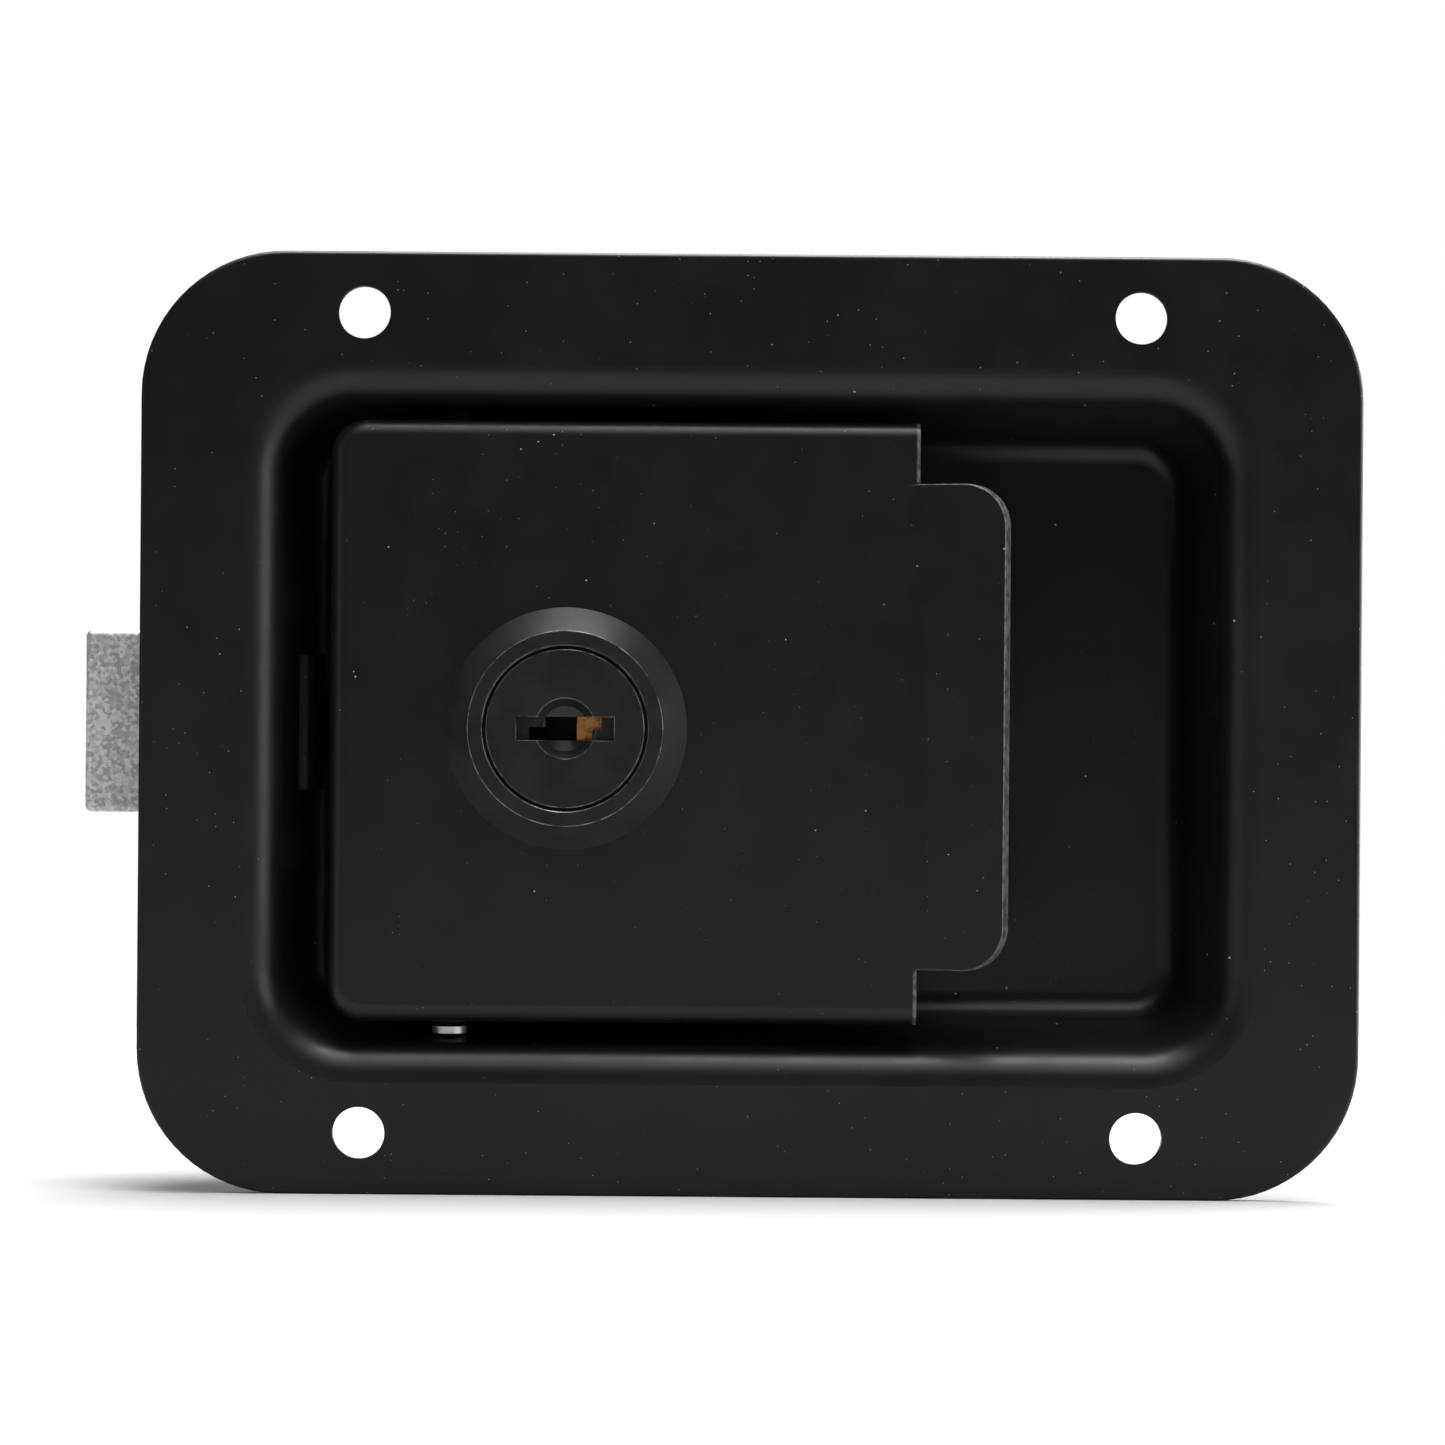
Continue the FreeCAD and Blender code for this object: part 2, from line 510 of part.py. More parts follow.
def make_lock_keeper():
    """Folded bracket on the dish floor whose shelf lies over the cam when it is turned up."""
    x0 = LOCK_X - KEEPER_WIDTH / 2
    x1 = LOCK_X + KEEPER_WIDTH / 2
    shelf_back = CAM_TOP - KEEPER_SHELF_GAP
    shelf_top = shelf_back - KEEPER_SHEET
    riser = KEEPER_SHELF_FROM + KEEPER_SHELF
    shelf = box(x0, x1, shelf_top, shelf_back, KEEPER_SHELF_FROM, riser + KEEPER_SHEET)
    wall = box(x0, x1, shelf_top, FLOOR_FRONT, riser, riser + KEEPER_SHEET)
    foot = box(x0, x1, FLOOR_FRONT - KEEPER_SHEET, FLOOR_FRONT, riser,
               riser + KEEPER_SHEET + KEEPER_FOOT)
    keeper = shelf.fuse([wall, foot]).removeSplitter()
    bend = []
    for edge in keeper.Edges:
        bounds = edge.BoundBox
        along_x = bounds.XLength > KEEPER_WIDTH / 2 and bounds.ZLength < 1e-4
        top_corner = abs(bounds.YMin - shelf_top) < 1e-4 and bounds.ZMin > riser + 0.1
        low_corner = abs(bounds.YMax - FLOOR_FRONT) < 1e-4 and abs(bounds.ZMin - riser) < 1e-4
        if along_x and (top_corner or low_corner):
            bend.append(edge)
    keeper = keeper.makeFillet(KEEPER_SHEET * 0.8, bend)
    holes = [rod(RIVET_R, FLOOR_FRONT - 4, FLOOR_FRONT + 1, x, z)
             for x, z in keeper_rivet_places()]
    return keeper.cut(holes)


def make_keeper_rivets():
    return [rivet(x, z, FLOOR_FRONT - KEEPER_SHEET, FLOOR_BACK) for x, z in keeper_rivet_places()]


def paddle_shell():
    """Flat face of the paddle with its left and long edges folded back."""
    x0 = PADDLE_LEFT
    x1 = PADDLE_RIGHT
    half = PADDLE_HEIGHT / 2
    depth = PADDLE_FRONT + PADDLE_SIDE_SKIRT
    block = box(x0, x1, PADDLE_FRONT, depth, -half, half)
    corner = [e for e in block.Edges
              if e.BoundBox.YLength > 1 and e.BoundBox.XMax < x0 + 1e-4]
    block = block.makeFillet(PADDLE_CORNER_R, corner)
    front_edges = [e for e in edges_at(block, PADDLE_FRONT) if e.BoundBox.XMin < x1 - 1e-4]
    block = block.makeFillet(PADDLE_BEND_R, front_edges)
    inner = box(x0 + PADDLE_SHEET, x1 + 1, PADDLE_BACK, depth + 1,
                -half + PADDLE_SHEET, half - PADDLE_SHEET)
    corner = [e for e in inner.Edges
              if e.BoundBox.YLength > 1 and e.BoundBox.XMax < x0 + PADDLE_SHEET + 1e-4]
    inner = inner.makeFillet(PADDLE_CORNER_R - PADDLE_SHEET, corner)
    shell = block.cut(inner)
    # the skirt is shallower left of the pin, where it swings towards the floor
    shallow = PADDLE_FRONT + PADDLE_LEFT_SKIRT
    trim = box(x0 - 1, PIN_X - EAR_R, shallow, depth + 1, -half - 1, half + 1)
    return shell.cut(trim)


def paddle_ear(side):
    """Rounded lug of the skirt round the pin, down to the skirt's depth and past it."""
    half = PADDLE_HEIGHT / 2
    z0 = min(side * half, side * (half - PADDLE_SHEET))
    z1 = z0 + PADDLE_SHEET
    lug = post(EAR_R, z0, z1, PIN_X, PIN_DEPTH)
    block = box(PIN_X - EAR_R, PIN_X + EAR_R, PADDLE_FRONT + PADDLE_BEND_R, PIN_DEPTH, z0, z1)
    return lug.fuse(block)


def paddle_tab():
    """Finger tab: a strip of sheet that leaves the paddle in a soft bend and rises to the front."""
    rise = math.radians(TAB_RISE_DEG)
    half = TAB_HEIGHT / 2
    x0 = PADDLE_RIGHT - 2 * TAB_BEND_START
    centre = Vector(PADDLE_RIGHT - TAB_BEND_START, PADDLE_FRONT - TAB_BEND_R, -half)
    end_x = PADDLE_RIGHT + TAB_LENGTH

    def side(radius):
        """Start, bend start, bend middle, bend end and free end of one face of the sheet."""
        bend = [centre + Vector(radius * math.sin(a), radius * math.cos(a), 0)
                for a in (0, rise / 2, rise)]
        along = (end_x - centre.x - TAB_BEND_R * math.sin(rise)) / math.cos(rise)
        end = bend[2] + Vector(along * math.cos(rise), -along * math.sin(rise), 0)
        return [Vector(x0, bend[0].y, -half)] + bend + [end]

    front = side(TAB_BEND_R)
    back = side(TAB_BEND_R + PADDLE_SHEET)
    outline = Part.Wire([Part.makeLine(front[0], front[1]),
                         Part.Arc(front[1], front[2], front[3]).toShape(),
                         Part.makeLine(front[3], front[4]),
                         Part.makeLine(front[4], back[4]),
                         Part.makeLine(back[4], back[3]),
                         Part.Arc(back[3], back[2], back[1]).toShape(),
                         Part.makeLine(back[1], back[0]),
                         Part.makeLine(back[0], front[0])])
    sheet = Part.Face(outline).extrude(Vector(0, 0, TAB_HEIGHT))
    corner = [e for e in sheet.Edges if e.BoundBox.ZLength < 1e-4
              and e.BoundBox.XMin > end_x - 1e-3]
    sheet = sheet.makeFillet(TAB_CORNER_R, corner)
    rim = [e for e in sheet.Edges if e.BoundBox.YMin < front[3].y - 0.2
           and e.BoundBox.XMax > front[3].x + 1 and on_front_face(e, front[3], rise)]
    return sheet.makeFillet(EDGE_R, rim)


def on_front_face(edge, point, rise):
    """Whether an edge lies in the tab's front face, which rises from point."""
    normal = Vector(math.sin(rise), math.cos(rise), 0)
    middle = edge.valueAt((edge.FirstParameter + edge.LastParameter) / 2)
    return all(abs((p - point).dot(normal)) < 1e-3
               for p in (edge.Vertexes[0].Point, middle, edge.Vertexes[-1].Point))


def make_paddle():
    """Folded paddle with pin ears, finger tab and the flatted hole for the lock."""
    shell = paddle_shell()
    shell = shell.fuse([paddle_ear(-1), paddle_ear(1)])
    shell.translate(UP * PADDLE_RAISE)
    shell = shell.fuse(paddle_tab())
    hole = rod(BARREL_R + FIT_GAP, PADDLE_FRONT - 1, PADDLE_BACK + 1, LOCK_X)
    flat = BARREL_FLAT / 2 + FIT_GAP
    hole = hole.common(box(LOCK_X - BARREL_R - 1, LOCK_X + BARREL_R + 1,
                           PADDLE_FRONT - 2, PADDLE_BACK + 2, -flat, flat))
    hole.translate(UP * -LOCK_DROP)
    pin_hole = post(PIN_R + RUNNING_GAP, -PADDLE_HEIGHT, PADDLE_HEIGHT, PIN_X, PIN_DEPTH)
    return shell.cut([hole, pin_hole]).removeSplitter()


def make_release_leg():
    """Angle bracket under the paddle whose leg reaches through the floor into the draw bar."""
    half = LEG_WIDTH / 2
    tip = BAR_BACK + LEG_PAST_BAR
    leg = box(LEG_LEFT, LEG_RIGHT, PADDLE_BACK, tip, -half, half)
    foot = box(LEG_RIGHT - LEG_FOOT, LEG_RIGHT, PADDLE_BACK, PADDLE_BACK + LEG_THICK, -half, half)
    bracket = leg.fuse(foot).removeSplitter()
    outer = [e for e in bracket.Edges
             if e.BoundBox.ZLength > half and abs(e.BoundBox.XMin - LEG_RIGHT) < 1e-4
             and abs(e.BoundBox.YMax - PADDLE_BACK) < 1e-4]
    bracket = bracket.makeFillet(LEG_THICK * 0.8, outer)
    # the tip is round about the pin, so it stays clear of the case as it swings
    reach = math.hypot(LEG_LEFT_OF_PIN, LEG_REACH)
    return bracket.common(post(reach, -half - 1, half + 1, PIN_X, PIN_DEPTH))


def make_paddle_spring():
    """Torsion spring on the pin: one leg on the paddle's back, one on the dish floor."""
    turns = PADDLE_SPRING_TURNS + (180.0 - PADDLE_SPRING_SLOPE) / 360.0
    slope = math.radians(PADDLE_SPRING_SLOPE)
    floor = FLOOR_FRONT - PADDLE_SPRING_GAP - PADDLE_SPRING_WIRE / 2 - PIN_DEPTH
    floor_leg = (floor - PADDLE_SPRING_R * math.cos(slope)) / math.sin(slope)
    spring = helix_spring(PADDLE_SPRING_R, PADDLE_SPRING_WIRE / 2, PADDLE_SPRING_PITCH, turns,
                          -90.0, (PADDLE_SPRING_LEG, floor_leg))
    spring.translate(Vector(PIN_X, PIN_DEPTH, PADDLE_SPRING_LOW))
    return spring


def make_lock_body():
    """Lock housing: sloped bezel in front of the paddle, flatted barrel through it."""
    bezel = Part.makeCone(BEZEL_RIM_R, BEZEL_BASE_R, BEZEL_HEIGHT, Vector(LOCK_X, BEZEL_TOP, 0), INTO)
    barrel = rod(BARREL_R, PADDLE_FRONT, BARREL_END, LOCK_X)
    flat = BARREL_FLAT / 2
    barrel = barrel.common(box(LOCK_X - BARREL_R - 1, LOCK_X + BARREL_R + 1,
                               PADDLE_FRONT - 1, BARREL_END + 1, -flat, flat))
    body = bezel.fuse(barrel).removeSplitter()
    head_room = rod(PLUG_HEAD_R + PLUG_HEAD_GAP, BEZEL_TOP - 1,
                    PLUG_TOP + PLUG_HEAD_THICK + PLUG_SEAT_GAP, LOCK_X)
    bore = rod(PLUG_CORE_R + RUNNING_GAP, BEZEL_TOP - 1, BARREL_END + 1, LOCK_X)
    body = body.cut([head_room, bore])
    rims = [e for e in edges_at(body, BEZEL_TOP)]
    body = body.makeFillet(0.25, rims)
    return body


def make_lock_nut():
    """Thin hexagon nut that clamps the lock to the paddle; its flats face the pin."""
    top = PADDLE_BACK + LOCK_WASHER_THICK
    corner_r = NUT_ACROSS_FLATS / 2 / math.cos(math.radians(30))
    points = []
    for index in range(7):
        angle = math.radians(30 + 60 * index)
        points.append(Vector(LOCK_X + corner_r * math.cos(angle), top, corner_r * math.sin(angle)))
    nut = Part.Face(Part.makePolygon(points)).extrude(Vector(0, NUT_THICK, 0))
    dome = Part.makeCone(corner_r + NUT_THICK, corner_r - 0.5, NUT_THICK,
                         Vector(LOCK_X, top, 0), INTO)
    return nut.common(dome).cut(rod(BARREL_R + FIT_GAP, top - 1, top + NUT_THICK + 1, LOCK_X))


def make_lock_washer():
    """Ring washer between the nut and the paddle."""
    washer = rod(LOCK_WASHER_R, PADDLE_BACK, PADDLE_BACK + LOCK_WASHER_THICK, LOCK_X)
    return washer.cut(rod(BARREL_R + FIT_GAP, PADDLE_BACK - 1, PADDLE_BACK + 2, LOCK_X))


def wafer_depths():
    """Front faces of the wafers."""
    first = PLUG_TOP + PLUG_HEAD_THICK + 0.4
    return [first + index * WAFER_PITCH for index in range(WAFER_COUNT)]


def make_lock_plug():
    """Turning plug: round head, core with key channel and wafer slots, square tail for the cam."""
    core_end = BARREL_END + CAM_GAP / 2
    head = rod(PLUG_HEAD_R, PLUG_TOP, PLUG_TOP + PLUG_HEAD_THICK, LOCK_X)
    head = fillet_at(head, PLUG_TOP, 0.2)
    core = rod(PLUG_CORE_R, PLUG_TOP + 0.5, core_end, LOCK_X)
    side = CAM_SQUARE / 2
    tail = box(LOCK_X - side, LOCK_X + side, core_end - 0.5, CAM_BACK, -side, side)
    plug = head.fuse([core, tail]).removeSplitter()
    half = KEY_SLOT_HEIGHT / 2
    slot_left = LOCK_X - KEY_SLOT_WIDTH / 2
    slot_right = LOCK_X + KEY_SLOT_WIDTH / 2
    channel_end = PLUG_TOP + KEY_HOLE_DEPTH
    channel = box(slot_left + KEY_SLOT_STEP, slot_right - KEY_SLOT_STEP, PLUG_TOP - 1, channel_end,
                  -half, half)
    channel = channel.cut([box(slot_left, LOCK_X - WARD_LEFT, PLUG_TOP - 2, channel_end + 1,
                               WARD_GAP, half + 1),
                           box(LOCK_X + WARD_RIGHT, slot_right, PLUG_TOP - 2, channel_end + 1,
                               -half - 1, -WARD_GAP)])
    cuts = [box(slot_left, slot_right, PLUG_TOP - 1, PLUG_TOP + KEY_SLOT_STEP_DEPTH, -half, half),
            channel,
            Part.makeCone(KEY_DISH_R, KEY_DISH_FLOOR_R, KEY_DISH_WALL,
                          Vector(LOCK_X, PLUG_TOP, 0), INTO),
            Part.makeCone(KEY_DISH_FLOOR_R, 0, KEY_DISH_POINT,
                          Vector(LOCK_X, PLUG_TOP + KEY_DISH_WALL, 0), INTO),
            rod(SCREW_R, CAM_BACK - 4, CAM_BACK + 1, LOCK_X)]
    for depth in wafer_depths():
        cuts.append(box(LOCK_X - PLUG_CORE_R - 1, LOCK_X + PLUG_CORE_R + 1, depth - WAFER_GAP,
                        depth + WAFER_THICK + WAFER_GAP, -WAFER_HEIGHT / 2 - WAFER_GAP,
                        WAFER_HEIGHT / 2 + WAFER_GAP))
    return plug.cut(cuts)


def make_wafers():
    """Sprung wafers across the plug, each with a window for the key."""
    wafers = []
    half = WAFER_HEIGHT / 2
    for index, depth in enumerate(wafer_depths()):
        edge = LOCK_X + WAFER_EDGE + 0.25 * (index % 3)
        wafer = box(LOCK_X - WAFER_LEFT, LOCK_X + WAFER_RIGHT, depth, depth + WAFER_THICK,
                    -half, half)
        window = box(LOCK_X - KEY_SLOT_WIDTH / 2 + KEY_SLOT_STEP - 0.3, edge, depth - 1,
                     depth + WAFER_THICK + 1, -KEY_SLOT_HEIGHT / 2, KEY_SLOT_HEIGHT / 2)
        wafers.append(wafer.cut(window))
    return wafers


def make_wafer_springs():
    """Small coil between each wafer's right end and the plug's edge."""
    springs = []
    gap = PLUG_CORE_R - WAFER_RIGHT - 0.7
    wire = 0.1
    for depth in wafer_depths():
        coil = helix_spring(WAFER_SPRING_R - wire, wire, (gap - 2 * wire) / 4.0, 4.0)
        coil.rotate(Vector(0, 0, 0), INTO, 90)
        coil.translate(Vector(LOCK_X + WAFER_RIGHT + wire, depth + WAFER_THICK / 2, 0))
        springs.append(coil)
    return springs


def make_cam():
    """Flat cam on the plug's square tail; it points right when unlocked and up when locked."""
    half = CAM_WIDTH / 2
    hub = rod(CAM_HUB_R, CAM_TOP, CAM_BACK, LOCK_X)
    arm = box(LOCK_X, LOCK_X + CAM_REACH - half, CAM_TOP, CAM_BACK, -half, half)
    tip = rod(half, CAM_TOP, CAM_BACK, LOCK_X + CAM_REACH - half)
    side = CAM_SQUARE / 2 + FIT_GAP
    square = box(LOCK_X - side, LOCK_X + side, CAM_TOP - 1, CAM_BACK + 1, -side, side)
    return hub.fuse([arm, tip]).removeSplitter().cut(square)


def make_cam_washer():
    washer = rod(CAM_WASHER_R, CAM_BACK, CAM_BACK + CAM_WASHER_THICK, LOCK_X)
    return washer.cut(rod(SCREW_R + FIT_GAP, CAM_BACK - 1, CAM_BACK + 2, LOCK_X))


def make_cam_screw():
    """Cross-recessed screw that holds the cam on the plug."""
    seat = CAM_BACK + CAM_WASHER_THICK
    shank = rod(SCREW_R, CAM_BACK - 3.5, seat, LOCK_X)
    head = rod(SCREW_HEAD_R, seat, seat + SCREW_HEAD_THICK, LOCK_X)
    head = fillet_at(head, seat + SCREW_HEAD_THICK, 0.5)
    screw = shank.fuse(head)
    back = seat + SCREW_HEAD_THICK
    cross = [box(LOCK_X - 2, LOCK_X + 2, back - 0.6, back + 1, -0.4, 0.4),
             box(LOCK_X - 0.4, LOCK_X + 0.4, back - 0.6, back + 1, -2, 2)]
    return screw.cut(cross)


def make_latch_bolt():
    """Cast bolt: flat front, bevel on the back of the nose, spring pockets and a flat tail."""
    half = BOLT_HEIGHT / 2
    nose = BOLT_FRONT + BOLT_NOSE
    outline = [Vector(-BOLT_TIP, BOLT_FRONT, -half),
               Vector(BOLT_REAR, BOLT_FRONT, -half),
               Vector(BOLT_REAR, BAR_TOP, -half),
               Vector(-BOLT_TIP + BOLT_BEVEL_LENGTH, BAR_TOP, -half),
               Vector(-BOLT_TIP, nose, -half),
               Vector(-BOLT_TIP, BOLT_FRONT, -half)]
    head = Part.Face(Part.makePolygon(outline)).extrude(Vector(0, 0, BOLT_HEIGHT))
    exposed = [e for e in head.Edges if e.BoundBox.XMin < -BOLT_TIP + 1e-3]
    head = head.makeFillet(BOLT_CORNER_R, exposed)
    tail = box(BOLT_REAR - 1, BOLT_REAR + TAIL_LENGTH, TAIL_TOP, BAR_TOP,
               -TAIL_WIDTH / 2, TAIL_WIDTH / 2)
    bolt = head.fuse(tail).removeSplitter()
    cuts = []
    for side in (-1, 1):
        z = side * BOLT_SPRING_SPREAD / 2
        cuts.append(Part.makeCylinder(POCKET_R, POCKET_DEPTH + 1,
                                      Vector(BOLT_REAR - POCKET_DEPTH, BOLT_SPRING_DEPTH, z),
                                      Vector(1, 0, 0)))
        cuts.append(rod(RIVET_R, TAIL_TOP - 1, BAR_TOP + 1, *bar_rivet_place(side)))
    return bolt.cut(cuts)


def bar_rivet_place(side):
    return BOLT_REAR + TAIL_LENGTH / 2 - 2, side * TAIL_WIDTH * 0.27


def make_draw_bar():
    """Flat bar riveted to the bolt's tail, with a window for the release leg."""
    half = TAIL_WIDTH / 2
    bar = box(BOLT_REAR + 1, BAR_RIGHT, BAR_TOP, BAR_BACK, -half, half)
    ends = [e for e in bar.Edges if e.BoundBox.YLength > 1]
    bar = bar.makeFillet(2.0, ends)
    window_half = LEG_WIDTH / 2 + LEG_SIDE_GAP
    cuts = [box(WINDOW_LEFT, WINDOW_RIGHT, BAR_TOP - 1, BAR_BACK + 1, -window_half, window_half)]
    for side in (-1, 1):
        cuts.append(rod(RIVET_R, BAR_TOP - 1, BAR_BACK + 1, *bar_rivet_place(side)))
    return bar.cut(cuts)


def make_draw_bar_rivets():
    """Flush rivets through the tail, each with a low head behind the bar."""
    rivets = []
    for side in (-1, 1):
        x, z = bar_rivet_place(side)
        shank = rod(RIVET_R, TAIL_TOP, BAR_BACK, x, z)
        head = rod(RIVET_HEAD_R, BAR_BACK, BAR_BACK + CASE_BACK_GAP / 2, x, z)
        rivets.append(shank.fuse(fillet_at(head, BAR_BACK + CASE_BACK_GAP / 2, 0.35)))
    return rivets


def make_bolt_springs():
    """Two coil springs from the bolt's pockets to the spring seat."""
    springs = []
    wire = BOLT_SPRING_WIRE / 2
    start = BOLT_REAR - POCKET_DEPTH + wire
    end = -SEAT_FACE - wire
    for side in (-1, 1):
        coil = helix_spring(BOLT_SPRING_R, wire, (end - start) / BOLT_SPRING_TURNS,
                            BOLT_SPRING_TURNS)
        coil.rotate(Vector(0, 0, 0), INTO, 90)
        coil.translate(Vector(start, BOLT_SPRING_DEPTH, side * BOLT_SPRING_SPREAD / 2))
        springs.append(coil)
    return springs


NODES = {
    "pan": make_pan,
    "bolt_case": make_bolt_case,
    "case_rivets": make_case_rivets,
    "spring_seat": make_spring_seat,
    "hinge_pin": make_hinge_pin,
    "pin_clips": make_pin_clips,
    "lock_keeper": make_lock_keeper,
    "keeper_rivets": make_keeper_rivets,
    "paddle": make_paddle,
    "release_leg": make_release_leg,
    "paddle_spring": make_paddle_spring,
    "lock_body": make_lock_body,
    "lock_nut": make_lock_nut,
    "lock_washer": make_lock_washer,
    "lock_plug": make_lock_plug,
    "wafers": make_wafers,
    "wafer_springs": make_wafer_springs,
    "cam": make_cam,
    "cam_washer": make_cam_washer,
    "cam_screw": make_cam_screw,
    "latch_bolt": make_latch_bolt,
    "draw_bar": make_draw_bar,
    "draw_bar_rivets": make_draw_bar_rivets,
    "bolt_springs": make_bolt_springs,
}


# these sit on the lock's axis, which is a little below the dish's middle
ON_LOCK_AXIS = ("lock_body", "lock_nut", "lock_washer", "lock_plug", "wafers", "wafer_springs",
                "cam", "cam_washer", "cam_screw")


def main():
    os.makedirs("parts", exist_ok=True)
    for name, make in NODES.items():
        made = make()
        solids = made if isinstance(made, list) else [made]
        solids = [solid for shape in solids for solid in shape.Solids]
        for solid in solids:
            if not solid.isValid() or solid.Volume <= 0:
                raise ValueError(name + " has a solid that is not valid")
            if name in ON_LOCK_AXIS:
                solid.translate(UP * -LOCK_DROP)
        shape = solids[0] if len(solids) == 1 else Part.makeCompound(solids)
        shape.exportStep("parts/" + name + ".step")
        print(name, len(solids), "solid(s),", round(shape.Volume, 1), "mm3")


main()
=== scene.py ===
"""Looks of a flush paddle latch: coated sheet, key lock, cast bolt, plated hardware and springs.

Everything is in metres, in the row frame: +X to the right seen from the front, +Z up and +Y into
the door. The file is laid out as an add-on and run as a script.
"""
import json
import math

import bpy
import numpy as np
from bpy.props import FloatProperty, FloatVectorProperty, IntProperty, PointerProperty
from bpy.types import Operator, Panel, PropertyGroup
from mathutils import Matrix, Vector

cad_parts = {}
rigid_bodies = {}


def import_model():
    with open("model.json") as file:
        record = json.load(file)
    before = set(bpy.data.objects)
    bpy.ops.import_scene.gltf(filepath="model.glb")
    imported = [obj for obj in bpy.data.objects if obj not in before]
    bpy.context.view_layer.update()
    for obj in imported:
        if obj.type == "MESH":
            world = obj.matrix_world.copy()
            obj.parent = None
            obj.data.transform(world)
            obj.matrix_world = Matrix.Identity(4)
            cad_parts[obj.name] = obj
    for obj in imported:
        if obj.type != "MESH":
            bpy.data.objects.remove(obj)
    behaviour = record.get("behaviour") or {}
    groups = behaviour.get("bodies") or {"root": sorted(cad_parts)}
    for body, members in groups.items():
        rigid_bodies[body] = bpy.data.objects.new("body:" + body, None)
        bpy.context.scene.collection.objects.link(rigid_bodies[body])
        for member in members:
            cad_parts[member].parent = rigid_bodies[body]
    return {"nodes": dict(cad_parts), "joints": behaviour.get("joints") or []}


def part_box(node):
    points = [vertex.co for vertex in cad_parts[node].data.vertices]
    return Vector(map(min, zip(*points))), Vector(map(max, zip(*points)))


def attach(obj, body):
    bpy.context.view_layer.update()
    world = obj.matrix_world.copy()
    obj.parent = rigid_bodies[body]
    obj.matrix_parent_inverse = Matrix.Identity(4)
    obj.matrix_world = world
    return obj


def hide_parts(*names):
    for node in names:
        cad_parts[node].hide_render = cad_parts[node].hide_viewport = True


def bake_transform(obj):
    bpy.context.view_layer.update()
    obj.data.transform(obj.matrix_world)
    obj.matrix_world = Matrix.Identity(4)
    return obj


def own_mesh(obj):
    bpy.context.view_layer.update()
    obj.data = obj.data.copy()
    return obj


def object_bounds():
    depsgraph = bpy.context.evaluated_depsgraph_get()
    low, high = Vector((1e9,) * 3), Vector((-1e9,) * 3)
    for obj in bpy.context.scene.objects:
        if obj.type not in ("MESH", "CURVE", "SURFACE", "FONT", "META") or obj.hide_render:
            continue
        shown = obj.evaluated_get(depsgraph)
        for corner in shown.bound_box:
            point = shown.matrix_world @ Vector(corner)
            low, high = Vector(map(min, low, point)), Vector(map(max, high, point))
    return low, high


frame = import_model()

bl_info = {
    "name": "Flush paddle latch",
    "version": (1, 0, 0),
    "blender": (4, 5, 0),
    "location": "View3D > Sidebar > Latch",
    "description": "Finishes, springs and stage of a flush paddle latch with a key lock",
    "category": "Object",
}

MM = 0.001
CAD_BOX = [list(corner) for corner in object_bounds()]
JOINTS = {joint["name"]: joint for joint in frame["joints"]}
PIN_AXIS = Vector(JOINTS["paddle_swing"]["pos_m"])
LOCK_AXIS = Vector(JOINTS["plug_turn"]["pos_m"])
PLATE_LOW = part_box("pan")[0]
PADDLE_LOW, PADDLE_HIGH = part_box("paddle")
PLUG_LOW, PLUG_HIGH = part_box("lock_plug")
BEZEL_LOW, BEZEL_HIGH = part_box("lock_body")

# the paddle's finger tab, measured back from the paddle's greatest X
TAB_CORNER_R = 5.0 * MM
TAB_RISE = math.radians(20.0)       # slope of the tab
TAB_HALF_HEIGHT = 27.85 * MM
TAB_OUTLINE = 0.68 * MM             # to the end of the tab's front outline
TAB_FADE = (10.6 * MM, 10.3 * MM)   # where the tab's mask starts, and where it is whole
ENDS_FADE = (10.80 * MM, 10.62 * MM)  # the same for the paddle's right ends
ENDS_ABOVE = 0.3 * MM               # fade of the right ends beyond the tab's height
EDGE_BAND = (-0.15 * MM, -0.05 * MM)  # band inside the tab's outline, painted lighter as rubbed coat and painted highlight
CUT_SHARE = 0.25                    # how far the tab's cut end is painted lighter, as rubbing and painted highlight

# rubbed rings of the lock, painted lighter as rubbed metal and painted highlight
BEZEL_RIM_INSET = 2.75 * MM         # bezel's foot to the outer edge of its flat rim
BEZEL_BORE_GAP = 0.40 * MM          # plug's head to the rim's inner edge
PLUG_RIM_INSET = 0.08 * MM          # plug's edge to its rubbed ring
KEY_DISH_R = 3.5 * MM               # round lead-in of the key slot
SLOT_EDGE = (0.02 * MM, 0.11 * MM)  # half width of the lighter line on the slot's edge: rubbing and painted highlight
LOCK_FRONT = (-1.6 * MM, -2.4 * MM)  # Y from the lock's axis point where the rubbed, highlight-painted lines start

# stretch of the pin below the paddle's lower edge that shows its plate; the rest is painted black
# as painted shade
PIN_UNSHADED_LOW = 1.7 * MM
PIN_UNSHADED_HIGH = 0.8 * MM
BAND_FADE = 0.1 * MM

# dust on the coat: shares of the cells, and the small specks' spacing and size
DUST_SHARE = 0.20
SMALL_DUST_SHARE = 0.14
SMALL_DUST_SPACING = 0.37           # of the large specks' spacing
SMALL_DUST_SIZE = 0.5               # of the large specks' size
DUST_COLOUR = (0.45, 0.44, 0.43)
SMALL_DUST_COLOUR = (0.35, 0.35, 0.35)

COAT_IOR = 1.34
LACQUER_IOR = 1.31
# IOR of the black painted shade on the hinge pin
PAINTED_SHADE_IOR = 1.1
TURNING_PITCH = 0.41 * MM           # marks on the lock's turned faces
TURNING_WEIGHT = 0.12
CONE_ROUGHER = 0.13                 # roughness of the bezel's cone above its rim's
BRASS_SHADE = (0.9 * MM, 1.6 * MM)   # X from the lock's axis where the painted shade on the wafers ends

CLOSED_PITCH = 1.04                 # pitch of a spring's closed end, in wires
BOLT_WIRE_SIDES = 14
PADDLE_WIRE_SIDES = 18
LEG_STEPS = 16                      # rings of the wire along each straight leg

FLOOR_REACH = 0.30
SENSOR_WIDTH = 36.0                 # in millimetres


# ---- settings ----

